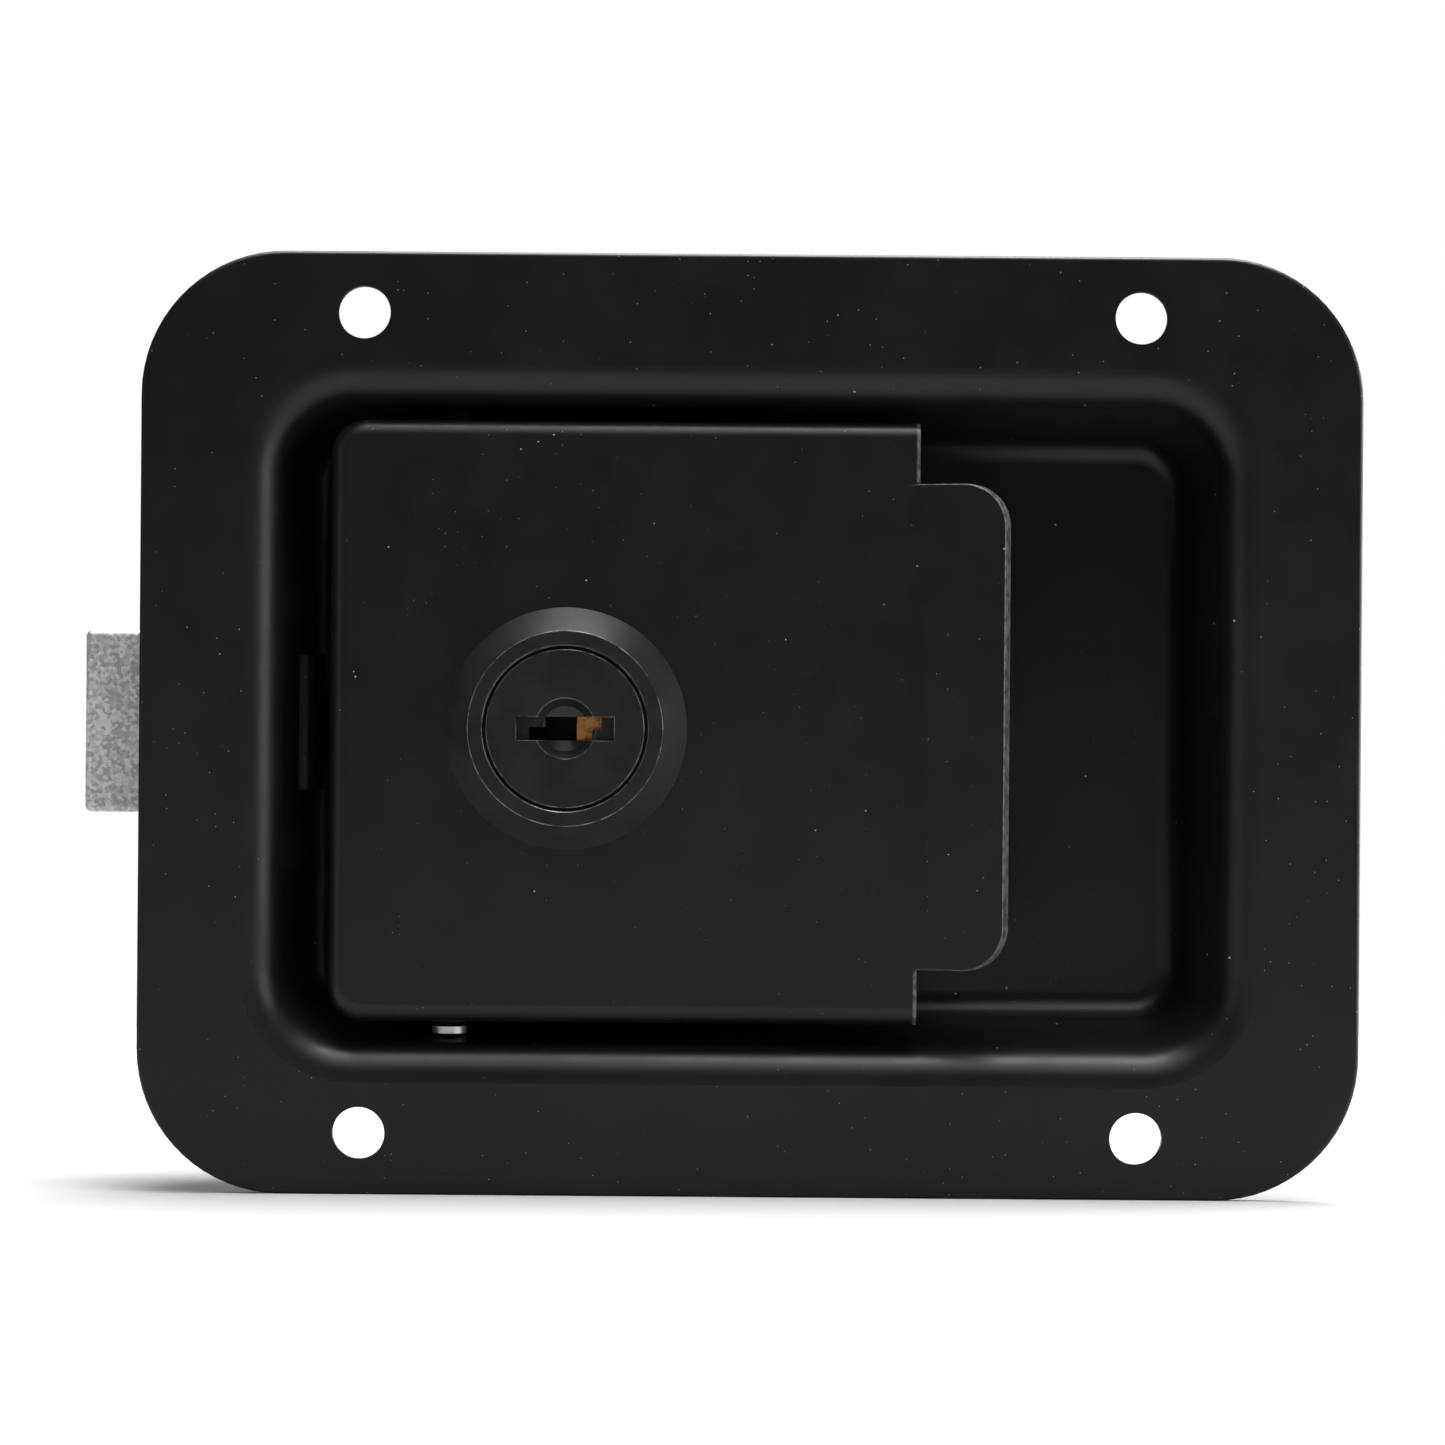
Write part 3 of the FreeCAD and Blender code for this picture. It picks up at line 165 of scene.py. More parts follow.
class CoatSettings(PropertyGroup):
    """Black powder coat of the dish, the paddle and the sheet pieces in the dish."""

    colour: FloatVectorProperty(
        name="Coat colour", description="Colour of the powder coat", subtype="COLOR",
        size=3, min=0.0, max=1.0, default=(0.0034, 0.0034, 0.0036))
    roughness: FloatProperty(
        name="Roughness", description="Mean roughness of the coat", default=0.38, min=0.0, max=1.0)
    grain: FloatProperty(
        name="Grain size", description="Size of the coat's fine grain", default=0.45 * MM,
        unit="LENGTH")
    grain_height: FloatProperty(
        name="Grain height", description="Depth of the coat's fine grain", default=0.006 * MM,
        unit="LENGTH", precision=6)
    dust_spacing: FloatProperty(
        name="Dust spacing", description="Mean distance between dust specks", default=1.9 * MM,
        unit="LENGTH")
    dust_size: FloatProperty(
        name="Dust size", description="Radius of the largest dust specks", default=0.15 * MM,
        unit="LENGTH", precision=5)
    # lighter colour of the paddle's cut edges: rubbed coat, and painted highlight where the edges
    # catch light
    edge_wear_and_highlight_colour: FloatVectorProperty(
        name="Edge wear and painted highlight colour", description="Colour of a cut edge's rubbing and painted highlight",
        subtype="COLOR", size=3, min=0.0, max=1.0, default=(0.12, 0.117, 0.112))


class LockSettings(PropertyGroup):
    """Bezel, plug and wafers of the key lock."""

    colour: FloatVectorProperty(
        name="Lock colour", description="Black lacquer of the bezel and the plug",
        subtype="COLOR", size=3, min=0.0, max=1.0, default=(0.0105, 0.0105, 0.0102))
    roughness: FloatProperty(
        name="Roughness", description="Mean roughness of the lacquer", default=0.30,
        min=0.0, max=1.0)
    # lighter colour of the lock's rims and slot edge: rubbed metal, and painted highlight where
    # they catch light
    rim_wear_and_highlight_colour: FloatVectorProperty(
        name="Rim wear and painted highlight colour", description="Bare metal and painted highlight on the rims",
        subtype="COLOR", size=3, min=0.0, max=1.0, default=(0.17, 0.165, 0.155))
    rim_width: FloatProperty(
        name="Rim width", description="Width of the rubbed, highlight-painted line on each rim",
        default=0.09 * MM, unit="LENGTH", precision=5)
    cone_start: FloatProperty(
        name="Cone start", description="Radius where the bezel's flat rim turns into its cone",
        default=11.25 * MM, unit="LENGTH", precision=5)
    slot_width: FloatProperty(
        name="Key slot width", description="Long side of the key slot", default=11.2 * MM,
        unit="LENGTH")
    slot_height: FloatProperty(
        name="Key slot height", description="Short side of the key slot", default=2.7 * MM,
        unit="LENGTH")
    brass: FloatVectorProperty(
        name="Wafer colour", description="Brass of the wafers", subtype="COLOR", size=3,
        min=0.0, max=1.0, default=(0.50, 0.225, 0.085))


class BoltSettings(PropertyGroup):
    """Cast zinc bolt."""

    light: FloatVectorProperty(
        name="Light grain", description="Lighter grains of the cast skin", subtype="COLOR",
        size=3, min=0.0, max=1.0, default=(0.64, 0.64, 0.625))
    dark: FloatVectorProperty(
        name="Dark grain", description="Darker grains of the cast skin", subtype="COLOR",
        size=3, min=0.0, max=1.0, default=(0.34, 0.34, 0.335))
    grain: FloatProperty(
        name="Grain size", description="Size of the grains of the cast skin",
        default=0.42 * MM, unit="LENGTH")
    roughness: FloatProperty(
        name="Roughness", description="Mean roughness of the cast skin", default=0.55,
        min=0.0, max=1.0)


class HardwareSettings(PropertyGroup):
    """Plated sheet, pin, clips, rivets, nut, washers, cam and screw."""

    zinc: FloatVectorProperty(
        name="Zinc plate", description="Colour of the zinc plating", subtype="COLOR", size=3,
        min=0.0, max=1.0, default=(0.56, 0.57, 0.585))
    dark_steel: FloatVectorProperty(
        name="Dark steel", description="Colour of the phosphated clips", subtype="COLOR",
        size=3, min=0.0, max=1.0, default=(0.07, 0.07, 0.075))
    roughness: FloatProperty(
        name="Roughness", description="Mean roughness of the plating", default=0.32,
        min=0.0, max=1.0)


class SpringSettings(PropertyGroup):
    """Coil springs of the bolt and the torsion spring on the paddle's pin."""

    bolt_wire: FloatProperty(
        name="Bolt spring wire", description="Wire diameter of the bolt springs",
        default=0.7 * MM, unit="LENGTH", precision=5)
    bolt_turns: FloatProperty(
        name="Bolt spring turns", default=8.0, min=3.0, max=20.0,
        description="Turns of each bolt spring, with its two closed ends")
    paddle_wire: FloatProperty(
        name="Paddle spring wire", description="Wire diameter of the torsion spring",
        default=1.2 * MM, unit="LENGTH", precision=5)
    paddle_turns: FloatProperty(
        name="Paddle spring turns", description="Whole turns of the torsion spring",
        default=5.0, min=1.0, max=20.0)
    paddle_slope: FloatProperty(
        name="Floor leg slope", description="Slope of the torsion spring's leg to the floor",
        default=math.radians(40.0), subtype="ANGLE")
    steps_per_turn: IntProperty(
        name="Steps per turn", description="Rings of the wire in one turn", default=48, min=12,
        max=200)


class StageSettings(PropertyGroup):
    """Camera, lights and floor."""

    camera_distance: FloatProperty(
        name="Camera distance", description="From the front of the flange to the camera",
        default=0.560, unit="LENGTH")
    view_width: FloatProperty(
        name="View width", description="Width that the camera sees at the front of the flange",
        default=165.4 * MM, unit="LENGTH")
    camera_side: FloatProperty(
        name="Camera offset", description="Camera to the left of the flange's middle",
        default=3.15 * MM, unit="LENGTH")
    camera_up: FloatProperty(
        name="Camera height", description="Camera above the flange's middle",
        default=0.34 * MM, unit="LENGTH")
    camera_roll: FloatProperty(
        name="Camera roll", description="Turn of the camera about its view axis",
        default=math.radians(0.45), subtype="ANGLE")
    floor_colour: FloatVectorProperty(
        name="Floor colour", description="Colour of the floor", subtype="COLOR", size=3,
        min=0.0, max=1.0, default=(0.46, 0.46, 0.46))
    fill: FloatProperty(
        name="Fill light", description="Brightness of the light from all round", default=0.05,
        min=0.0)


GROUPS = {
    "latch_coat": CoatSettings,
    "latch_lock": LockSettings,
    "latch_bolt": BoltSettings,
    "latch_hardware": HardwareSettings,
    "latch_springs": SpringSettings,
    "latch_stage": StageSettings,
}


# ---- node graphs ----

class Graph:
    """A material's nodes, added and linked from left to right."""

    def __init__(self, name):
        self.material = bpy.data.materials.new(name)
        self.material.use_nodes = True
        self.nodes = self.material.node_tree.nodes
        self.links = self.material.node_tree.links
        self.shader = self.nodes["Principled BSDF"]
        coordinates = self.nodes.new("ShaderNodeTexCoord")
        self.place = coordinates.outputs["Object"]
        self.facing = coordinates.outputs["Normal"]

    def set(self, socket, value):
        """Links an output to a socket, or gives the socket a plain value."""
        if isinstance(value, bpy.types.NodeSocket):
            self.links.new(value, socket)
        elif hasattr(value, "__len__") and len(value) == 3 and len(socket.default_value) == 4:
            socket.default_value = (*value, 1.0)
        else:
            socket.default_value = value

    def finish(self, name, value):
        """Sets one of the shader's own inputs."""
        self.set(self.shader.inputs[name], value)

    def maths(self, operation, first, second=0.0, third=0.0):
        """Result of one sum on up to three values."""
        node = self.nodes.new("ShaderNodeMath")
        node.operation = operation
        for socket, value in zip(node.inputs, (first, second, third)):
            self.set(socket, value)
        return node.outputs[0]

    def shift(self, offset):
        """Object coordinates measured from the point offset."""
        node = self.nodes.new("ShaderNodeVectorMath")
        node.operation = "SUBTRACT"
        self.set(node.inputs[0], self.place)
        self.set(node.inputs[1], tuple(offset))
        return node.outputs[0]

    def stretch(self, factors):
        """Object coordinates multiplied by a factor for each axis."""
        node = self.nodes.new("ShaderNodeVectorMath")
        node.operation = "MULTIPLY"
        self.set(node.inputs[0], self.place)
        self.set(node.inputs[1], tuple(factors))
        return node.outputs[0]

    def parts(self, vector):
        """The three components of a vector."""
        node = self.nodes.new("ShaderNodeSeparateXYZ")
        self.set(node.inputs[0], vector)
        return node.outputs

    def noise(self, size, detail=2.0, roughness=0.5, vector=None):
        """Smooth noise from 0 to 1 whose features are about size across."""
        node = self.nodes.new("ShaderNodeTexNoise")
        self.set(node.inputs["Vector"], vector or self.place)
        self.set(node.inputs["Scale"], 1.0 / size)
        self.set(node.inputs["Detail"], detail)
        self.set(node.inputs["Roughness"], roughness)
        return node.outputs[0]

    def cells(self, size):
        """Voronoi cells about size across: distance from the cell's point, and its own colour."""
        node = self.nodes.new("ShaderNodeTexVoronoi")
        node.feature = "F1"
        self.set(node.inputs["Vector"], self.place)
        self.set(node.inputs["Scale"], 1.0 / size)
        return node.outputs["Distance"], node.outputs["Color"]

    def ramp(self, value, low, high, start=0.0, end=1.0, smooth=True):
        """Value from start to end as the input goes from low to high."""
        node = self.nodes.new("ShaderNodeMapRange")
        node.interpolation_type = "SMOOTHSTEP" if smooth else "LINEAR"
        for socket, number in zip(node.inputs, (value, low, high, start, end)):
            self.set(socket, number)
        return node.outputs[0]

    def mix(self, share, first, second):
        """Colour from first to second as share goes from 0 to 1."""
        node = self.nodes.new("ShaderNodeMix")
        node.data_type = "RGBA"
        self.set(node.inputs[0], share)
        self.set(node.inputs[6], first)
        self.set(node.inputs[7], second)
        return node.outputs[2]

    def bump(self, height, distance):
        """Normal tilted by a height from 0 to 1 that stands for distance."""
        node = self.nodes.new("ShaderNodeBump")
        self.set(node.inputs["Strength"], 1.0)
        self.set(node.inputs["Distance"], distance)
        self.set(node.inputs["Height"], height)
        return node.outputs[0]

    def specks(self, spacing, size, share=0.5):
        """Mask of scattered round specks: a disc of up to size in some cells of spacing."""
        distance, colour = self.cells(spacing)
        own = self.parts(colour)
        radius = self.ramp(own[1], 0.0, 1.0, 0.25 * size / spacing, size / spacing, smooth=False)
        inside = self.maths("LESS_THAN", distance, radius)
        chosen = self.maths("LESS_THAN", own[0], share)
        return self.maths("MULTIPLY", inside, chosen)


def ring_mask(graph, radius_now, radius, width):
    """1 on a ring of the given radius and width, fading to 0 at its sides."""
    away = graph.maths("ABSOLUTE", graph.maths("SUBTRACT", radius_now, radius))
    return graph.ramp(away, 0.45 * width, 0.75 * width, 1.0, 0.0)


def either(graph, *masks):
    """Largest of several masks."""
    result = masks[0]
    for mask in masks[1:]:
        result = graph.maths("MAXIMUM", result, mask)
    return result


# ---- finishes ----

def coat_material(name, coat, edge_wear_and_highlight=None):
    """Satin powder coat: fine grain, slow mottling, a few dust specks, and cut edges painted
    lighter as rubbing and painted highlight.

    The edge function, when given, takes the graph and gives the mask of the lighter,
    highlight-painted edges.
    """
    graph = Graph(name)
    slow = graph.noise(28 * MM, 3.0)
    fine = graph.noise(coat.grain, 3.0, 0.6)
    grime = graph.noise(7 * MM, 5.0, 0.65)
    colour = tuple(coat.colour)
    lifted = tuple(1.45 * c for c in colour)
    base = graph.mix(graph.ramp(slow, 0.35, 0.65), colour, lifted)
    dust = graph.specks(coat.dust_spacing, coat.dust_size, DUST_SHARE)
    small_dust = graph.specks(SMALL_DUST_SPACING * coat.dust_spacing,
                              SMALL_DUST_SIZE * coat.dust_size, SMALL_DUST_SHARE)
    base = graph.mix(graph.maths("MULTIPLY", dust, 0.8), base, DUST_COLOUR)
    base = graph.mix(graph.maths("MULTIPLY", small_dust, 0.6), base, SMALL_DUST_COLOUR)
    rough = graph.ramp(grime, 0.3, 0.7, coat.roughness - 0.03, coat.roughness + 0.04)
    if edge_wear_and_highlight is not None:
        edge = edge_wear_and_highlight(graph)
        # painted highlight and rubbing: a lighter colour on the cut edges' mask
        base = graph.mix(edge, base, tuple(coat.edge_wear_and_highlight_colour))
    graph.finish("Base Color", base)
    graph.finish("Roughness", rough)
    graph.finish("IOR", COAT_IOR)
    graph.finish("Normal", graph.bump(fine, coat.grain_height))
    return graph.material


def paddle_edges(graph):
    """Mask of the paddle's lighter cut edges, rubbing and painted highlight: the tab's rounded
    outline, its cut end and the paddle's right ends.

    The outline is where the distance to a rounded rectangle, with its X side laid flat by the
    tab's rise, passes zero: length of (u, v) above zero plus the greater of u and v below it,
    less the corner's radius.
    """
    x, y, z = graph.parts(graph.place)
    normal = graph.parts(graph.facing)
    flat = math.cos(TAB_RISE)
    end = PADDLE_HIGH.x - TAB_OUTLINE
    up = graph.maths("ABSOLUTE", z)
    u = graph.maths("DIVIDE", graph.maths("SUBTRACT", x, end - TAB_CORNER_R * flat), flat)
    v = graph.maths("SUBTRACT", up, TAB_HALF_HEIGHT - TAB_CORNER_R)
    u_out = graph.maths("MAXIMUM", u, 0.0)
    v_out = graph.maths("MAXIMUM", v, 0.0)
    length = graph.maths("SQRT", graph.maths("ADD", graph.maths("MULTIPLY", u_out, u_out),
                                             graph.maths("MULTIPLY", v_out, v_out)))
    inside = graph.maths("MINIMUM", graph.maths("MAXIMUM", u, v), 0.0)
    distance = graph.maths("SUBTRACT", graph.maths("ADD", length, inside), TAB_CORNER_R)
    on_tab = graph.ramp(x, *(PADDLE_HIGH.x - back for back in TAB_FADE))
    rim = graph.maths("MULTIPLY", graph.ramp(distance, *EDGE_BAND), on_tab)
    cut = graph.maths("MULTIPLY", graph.ramp(normal[0], 0.80, 0.90, 0.0, CUT_SHARE), on_tab)
    right_end = graph.ramp(x, *(PADDLE_HIGH.x - back for back in ENDS_FADE))
    above = graph.ramp(up, TAB_HALF_HEIGHT, TAB_HALF_HEIGHT + ENDS_ABOVE)
    ends = graph.maths("MULTIPLY", right_end, above)
    broken = graph.ramp(graph.noise(0.9 * MM, 3.0), 0.36, 0.60, 0.35, 1.0)
    return graph.maths("MULTIPLY", either(graph, rim, cut, ends), broken)


def lock_radius(graph):
    """Distance from the lock's axis, and the three coordinates from it."""
    x, y, z = graph.parts(graph.shift(LOCK_AXIS))
    flat = graph.maths("ADD", graph.maths("POWER", x, 2.0), graph.maths("POWER", z, 2.0))
    return graph.maths("SQRT", flat), x, y, z


def lock_material(name, lock, rims, slot=False):
    """Satin black lacquer with fine turning marks; its rims and the key slot's edge are painted
    lighter, as rubbing and painted highlight.
    """
    graph = Graph(name)
    radius, x, y, z = lock_radius(graph)
    front = graph.ramp(y, *LOCK_FRONT)
    masks = [ring_mask(graph, radius, rim, lock.rim_width) for rim in rims]
    if slot:
        across = graph.maths("ABSOLUTE", x)
        up = graph.maths("ABSOLUTE", z)
        half_width = lock.slot_width / 2
        half_height = lock.slot_height / 2
        beyond = graph.maths("MAXIMUM", graph.maths("SUBTRACT", across, half_width),
                             graph.maths("SUBTRACT", up, half_height))
        masks.append(graph.ramp(graph.maths("ABSOLUTE", beyond), *SLOT_EDGE, 1.0, 0.0))
    broken = graph.ramp(graph.noise(1.6 * MM, 4.0, 0.7), 0.38, 0.62)
    # mask of the rims and the slot's edge, on the front faces only: rubbed metal and painted
    # highlight
    rubbed = graph.maths("MULTIPLY", either(graph, *masks), graph.maths("MULTIPLY", broken, front))
    mottled = graph.noise(5 * MM, 4.0)
    colour = tuple(lock.colour)
    lifted = tuple(1.35 * c for c in colour)
    base = graph.mix(graph.ramp(mottled, 0.35, 0.65), colour, lifted)
    base = graph.mix(graph.maths("MULTIPLY", graph.specks(3.5 * MM, 0.10 * MM), 0.6), base,
                     (0.12, 0.115, 0.11))
    base = graph.mix(rubbed, base, tuple(lock.rim_wear_and_highlight_colour))
    turned = graph.maths("SINE", graph.maths("MULTIPLY", radius, 2 * math.pi / TURNING_PITCH))
    grain = graph.maths("MULTIPLY_ADD", turned, TURNING_WEIGHT, graph.noise(0.35 * MM, 3.0))
    graph.finish("Base Color", base)
    graph.finish("Metallic", graph.maths("MULTIPLY", rubbed, 0.6))
    on_cone = graph.ramp(radius, lock.cone_start, lock.cone_start + BAND_FADE, 0.0, CONE_ROUGHER)
    rough = graph.ramp(mottled, 0.3, 0.7, lock.roughness - 0.03, lock.roughness + 0.05)
    graph.finish("Roughness", graph.maths("ADD", rough, on_cone))
    graph.finish("IOR", LACQUER_IOR)
    graph.finish("Normal", graph.bump(grain, 0.004 * MM))
    return graph.material


def brass_material(name, lock):
    """Stamped brass with darker oxidised patches, and painted shade on the wafers' left part, up
    to just right of the keyway's middle.
    """
    graph = Graph(name)
    across = graph.parts(graph.shift(LOCK_AXIS))[0]
    # painted shade: the wafers' left part darker, as shade inside the keyway
    wafer_shade = graph.ramp(across, *BRASS_SHADE, 1.0, 0.0)
    tarnish_and_shade = either(graph, graph.ramp(graph.noise(0.8 * MM, 4.0, 0.7), 0.42, 0.62), wafer_shade)
    brass = tuple(lock.brass)
    graph.finish("Base Color", graph.mix(tarnish_and_shade, brass, tuple(0.38 * c for c in brass)))
    graph.finish("Metallic", 1.0)
    graph.finish("Roughness", graph.ramp(tarnish_and_shade, 0.0, 1.0, 0.34, 0.55))
    graph.finish("Normal", graph.bump(graph.noise(0.25 * MM, 3.0), 0.006 * MM))
    return graph.material


def cast_material(name, bolt):
    """Matt cast zinc: grains of two greys, warm patches and fine pits."""
    graph = Graph(name)
    _, own = graph.cells(bolt.grain)
    grain = graph.parts(own)[0]
    fine = graph.noise(0.30 * MM, 4.0, 0.7)
    cloud = graph.noise(5.5 * MM, 3.0)
    share = graph.maths("MULTIPLY_ADD", grain, 0.55, graph.maths("MULTIPLY", fine, 0.6))
    share = graph.maths("MULTIPLY_ADD", cloud, 0.5, graph.maths("SUBTRACT", share, 0.25))
    base = graph.mix(graph.ramp(share, 0.28, 0.86), tuple(bolt.dark), tuple(bolt.light))
    warm = graph.ramp(graph.noise(4.0 * MM, 2.0), 0.56, 0.72, 0.0, 0.25)
    base = graph.mix(warm, base, (0.45, 0.42, 0.37))
    pits = graph.specks(1.3 * MM, 0.16 * MM, 0.45)
    base = graph.mix(graph.maths("MULTIPLY", pits, 0.55), base, (0.16, 0.155, 0.15))
    graph.finish("Base Color", base)
    graph.finish("Metallic", 0.55)
    graph.finish("Roughness", graph.ramp(fine, 0.3, 0.7, bolt.roughness - 0.08,
                                         bolt.roughness + 0.10))
    height = graph.maths("SUBTRACT", graph.maths("MULTIPLY_ADD", grain, 0.35, fine), pits)
    graph.finish("Normal", graph.bump(height, 0.035 * MM))
    return graph.material


def plated_material(name, colour, roughness, streak=(1.0, 1.0, 1.0), unshaded_band=None):
    """Zinc plate: bright crystals, cloudy passivation and fine rolling marks along one axis.

    Outside the given band, from its lowest to its highest Z, the plate is painted black: painted
    shade.
    """
    graph = Graph(name)
    cloud = graph.noise(6 * MM, 4.0, 0.6)
    lines = graph.noise(0.35 * MM, 3.0, 0.6, graph.stretch(streak))
    _, own = graph.cells(1.1 * MM)
    crystal = graph.parts(own)[0]
    share = graph.maths("MULTIPLY_ADD", crystal, 0.25, graph.ramp(cloud, 0.3, 0.7, 0.0, 0.75))
    base = graph.mix(share, tuple(0.78 * c for c in colour), colour)
    yellow = graph.ramp(graph.noise(9 * MM, 2.0), 0.52, 0.7, 0.0, 0.22)
    base = graph.mix(yellow, base, (0.55, 0.52, 0.40))
    metal = 1.0
    rough = graph.ramp(cloud, 0.3, 0.7, roughness - 0.06, roughness + 0.10)
    if unshaded_band is not None:
        low, high = unshaded_band
        z = graph.parts(graph.place)[2]
        # painted shade: black on the pin outside the band, standing in for the shade in the gaps
        # by the paddle
        painted_shade = either(graph, graph.ramp(z, low, low + BAND_FADE, 1.0, 0.0),
                         graph.ramp(z, high - BAND_FADE, high))
        base = graph.mix(painted_shade, base, (0.004, 0.004, 0.004))
        metal = graph.ramp(painted_shade, 0.0, 1.0, 1.0, 0.0)
        rough = graph.maths("MAXIMUM", rough, graph.maths("MULTIPLY", painted_shade, 0.9))
        graph.finish("IOR", PAINTED_SHADE_IOR)
    graph.finish("Base Color", base)
    graph.finish("Metallic", metal)
    graph.finish("Roughness", rough)
    graph.finish("Normal", graph.bump(lines, 0.006 * MM))
    return graph.material


def wire_material(name):
    """Drawn spring wire: grey, with a light oil film."""
    graph = Graph(name)
    stain = graph.noise(2.5 * MM, 4.0, 0.65)
    graph.finish("Base Color", graph.mix(graph.ramp(stain, 0.35, 0.65), (0.42, 0.42, 0.43),
                                         (0.26, 0.255, 0.25)))
    graph.finish("Metallic", 1.0)
    graph.finish("Roughness", graph.ramp(stain, 0.3, 0.7, 0.26, 0.42))
    graph.finish("Normal", graph.bump(graph.noise(0.2 * MM, 2.0), 0.003 * MM))
    return graph.material


def floor_material(name, colour):
    """Matt pale paper."""
    graph = Graph(name)
    fibre = graph.noise(3 * MM, 4.0, 0.6)
    graph.finish("Base Color", graph.mix(graph.ramp(fibre, 0.3, 0.7, 0.0, 0.12), tuple(colour),
                                         tuple(0.9 * c for c in colour)))
    graph.finish("Roughness", 0.9)
    graph.finish("Specular IOR Level", 0.1)
    return graph.material


def dress(node, material):
    """Gives a carried-over node its finish."""
    for slot in frame["nodes"][node].material_slots:
        slot.material = material


# ---- new meshes ----

def tube_mesh(name, path, radius, sides, axis):
    """Round wire along path, closed by a dome at each end.

    Ring k has the points path[k] + r (n cos v + b sin v), where n is axis made square to the
    path and b is the path's direction crossed with n. Three smaller rings at each end follow
    r cos(w) at r sin(w) beyond the end, and a point closes each dome.
    """
    tangent = np.gradient(path, axis=0)
    tangent /= np.linalg.norm(tangent, axis=1, keepdims=True)
    dome = np.radians([25.0, 50.0, 72.0])
    beyond = radius * np.sin(dome)[:, None]
    start = path[0] - beyond[::-1] * tangent[0]
    end = path[-1] + beyond * tangent[-1]
    rings = np.vstack([start, path, end])
    count = len(dome)
    along = np.vstack([np.repeat(tangent[:1], count, 0), tangent,
                       np.repeat(tangent[-1:], count, 0)])
    radii = np.concatenate([radius * np.cos(dome)[::-1], np.full(len(path), radius),
                            radius * np.cos(dome)])
    up = np.asarray(axis, float)
    normal = up - (along @ up)[:, None] * along
    normal /= np.linalg.norm(normal, axis=1, keepdims=True)
    side = np.cross(along, normal)
    v = np.linspace(0.0, 2.0 * math.pi, sides, endpoint=False)
    points = (rings[:, None, :]
              + radii[:, None, None] * (normal[:, None, :] * np.cos(v)[None, :, None]
                                        + side[:, None, :] * np.sin(v)[None, :, None]))
    poles = np.array([path[0] - radius * tangent[0], path[-1] + radius * tangent[-1]])
    return grid_mesh(name, points, poles)


def grid_mesh(name, points, poles):
    """Mesh of a grid that closes round its second index, with a pole at each end of the first."""
    rows, columns = points.shape[:2]
    index = np.arange(rows * columns).reshape(rows, columns)
    following = np.roll(index, -1, axis=1)
    quads = np.stack([index[:-1], following[:-1], following[1:], index[1:]], -1).reshape(-1, 4)
    first = rows * columns
    start_fan = np.stack([np.full(columns, first), following[0], index[0]], -1)
    end_fan = np.stack([np.full(columns, first + 1), index[-1], following[-1]], -1)
    vertices = np.vstack([points.reshape(-1, 3), poles])
    mesh = bpy.data.meshes.new(name)
    mesh.from_pydata(vertices.tolist(), [], quads.tolist() + start_fan.tolist() + end_fan.tolist())
    mesh.polygons.foreach_set("use_smooth", np.ones(len(mesh.polygons), bool))
    mesh.update()
    return mesh


def joined_meshes(name, meshes):
    """One mesh that holds several."""
    vertices = []
    faces = []
    for mesh in meshes:
        shift = len(vertices)
        vertices += [tuple(v.co) for v in mesh.vertices]
        faces += [tuple(shift + i for i in face.vertices) for face in mesh.polygons]
    joined = bpy.data.meshes.new(name)
    joined.from_pydata(vertices, [], faces)
    joined.polygons.foreach_set("use_smooth", np.ones(len(joined.polygons), bool))
    joined.update()
    return joined


def add_piece(name, mesh, material):
    """Links a finished mesh as a piece at the origin."""
    piece = bpy.data.objects.new(name, mesh)
    bpy.context.scene.collection.objects.link(piece)
    mesh.materials.append(material)
    return piece


def coil_path(radius, turns, steps, positions, start_angle=0.0):
    """Helix about Z: x = r cos a, y = r sin a, with z read off positions = (turn, z) pairs."""
    turn = np.linspace(0.0, turns, int(round(turns * steps)) + 1)
    angle = start_angle + 2.0 * math.pi * turn
    rise = np.interp(turn, *np.transpose(positions))
    return np.stack([radius * np.cos(angle), radius * np.sin(angle), rise], -1)


def bolt_spring_meshes(springs):
    """Two compression springs between the bolt's pockets and the seat, with closed ends."""
    low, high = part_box("bolt_springs")
    wire = springs.bolt_wire
    outer = (high.y - low.y) / 2
    length = high.x - low.x - wire
    turns = springs.bolt_turns
    closed = CLOSED_PITCH * wire
    places = [(0.0, 0.0), (1.0, closed), (turns - 1.0, length - closed), (turns, length)]
    coil = coil_path(outer - wire / 2, turns, springs.steps_per_turn, places)
    meshes = []
    for centre_z in (low.z + outer, high.z - outer):
        path = np.stack([low.x + wire / 2 + coil[:, 2], (low.y + high.y) / 2 + coil[:, 0],
                         centre_z + coil[:, 1]], -1)
        meshes.append(tube_mesh("coil", path, wire / 2, BOLT_WIRE_SIDES, (1.0, 0.0, 0.0)))
    return meshes


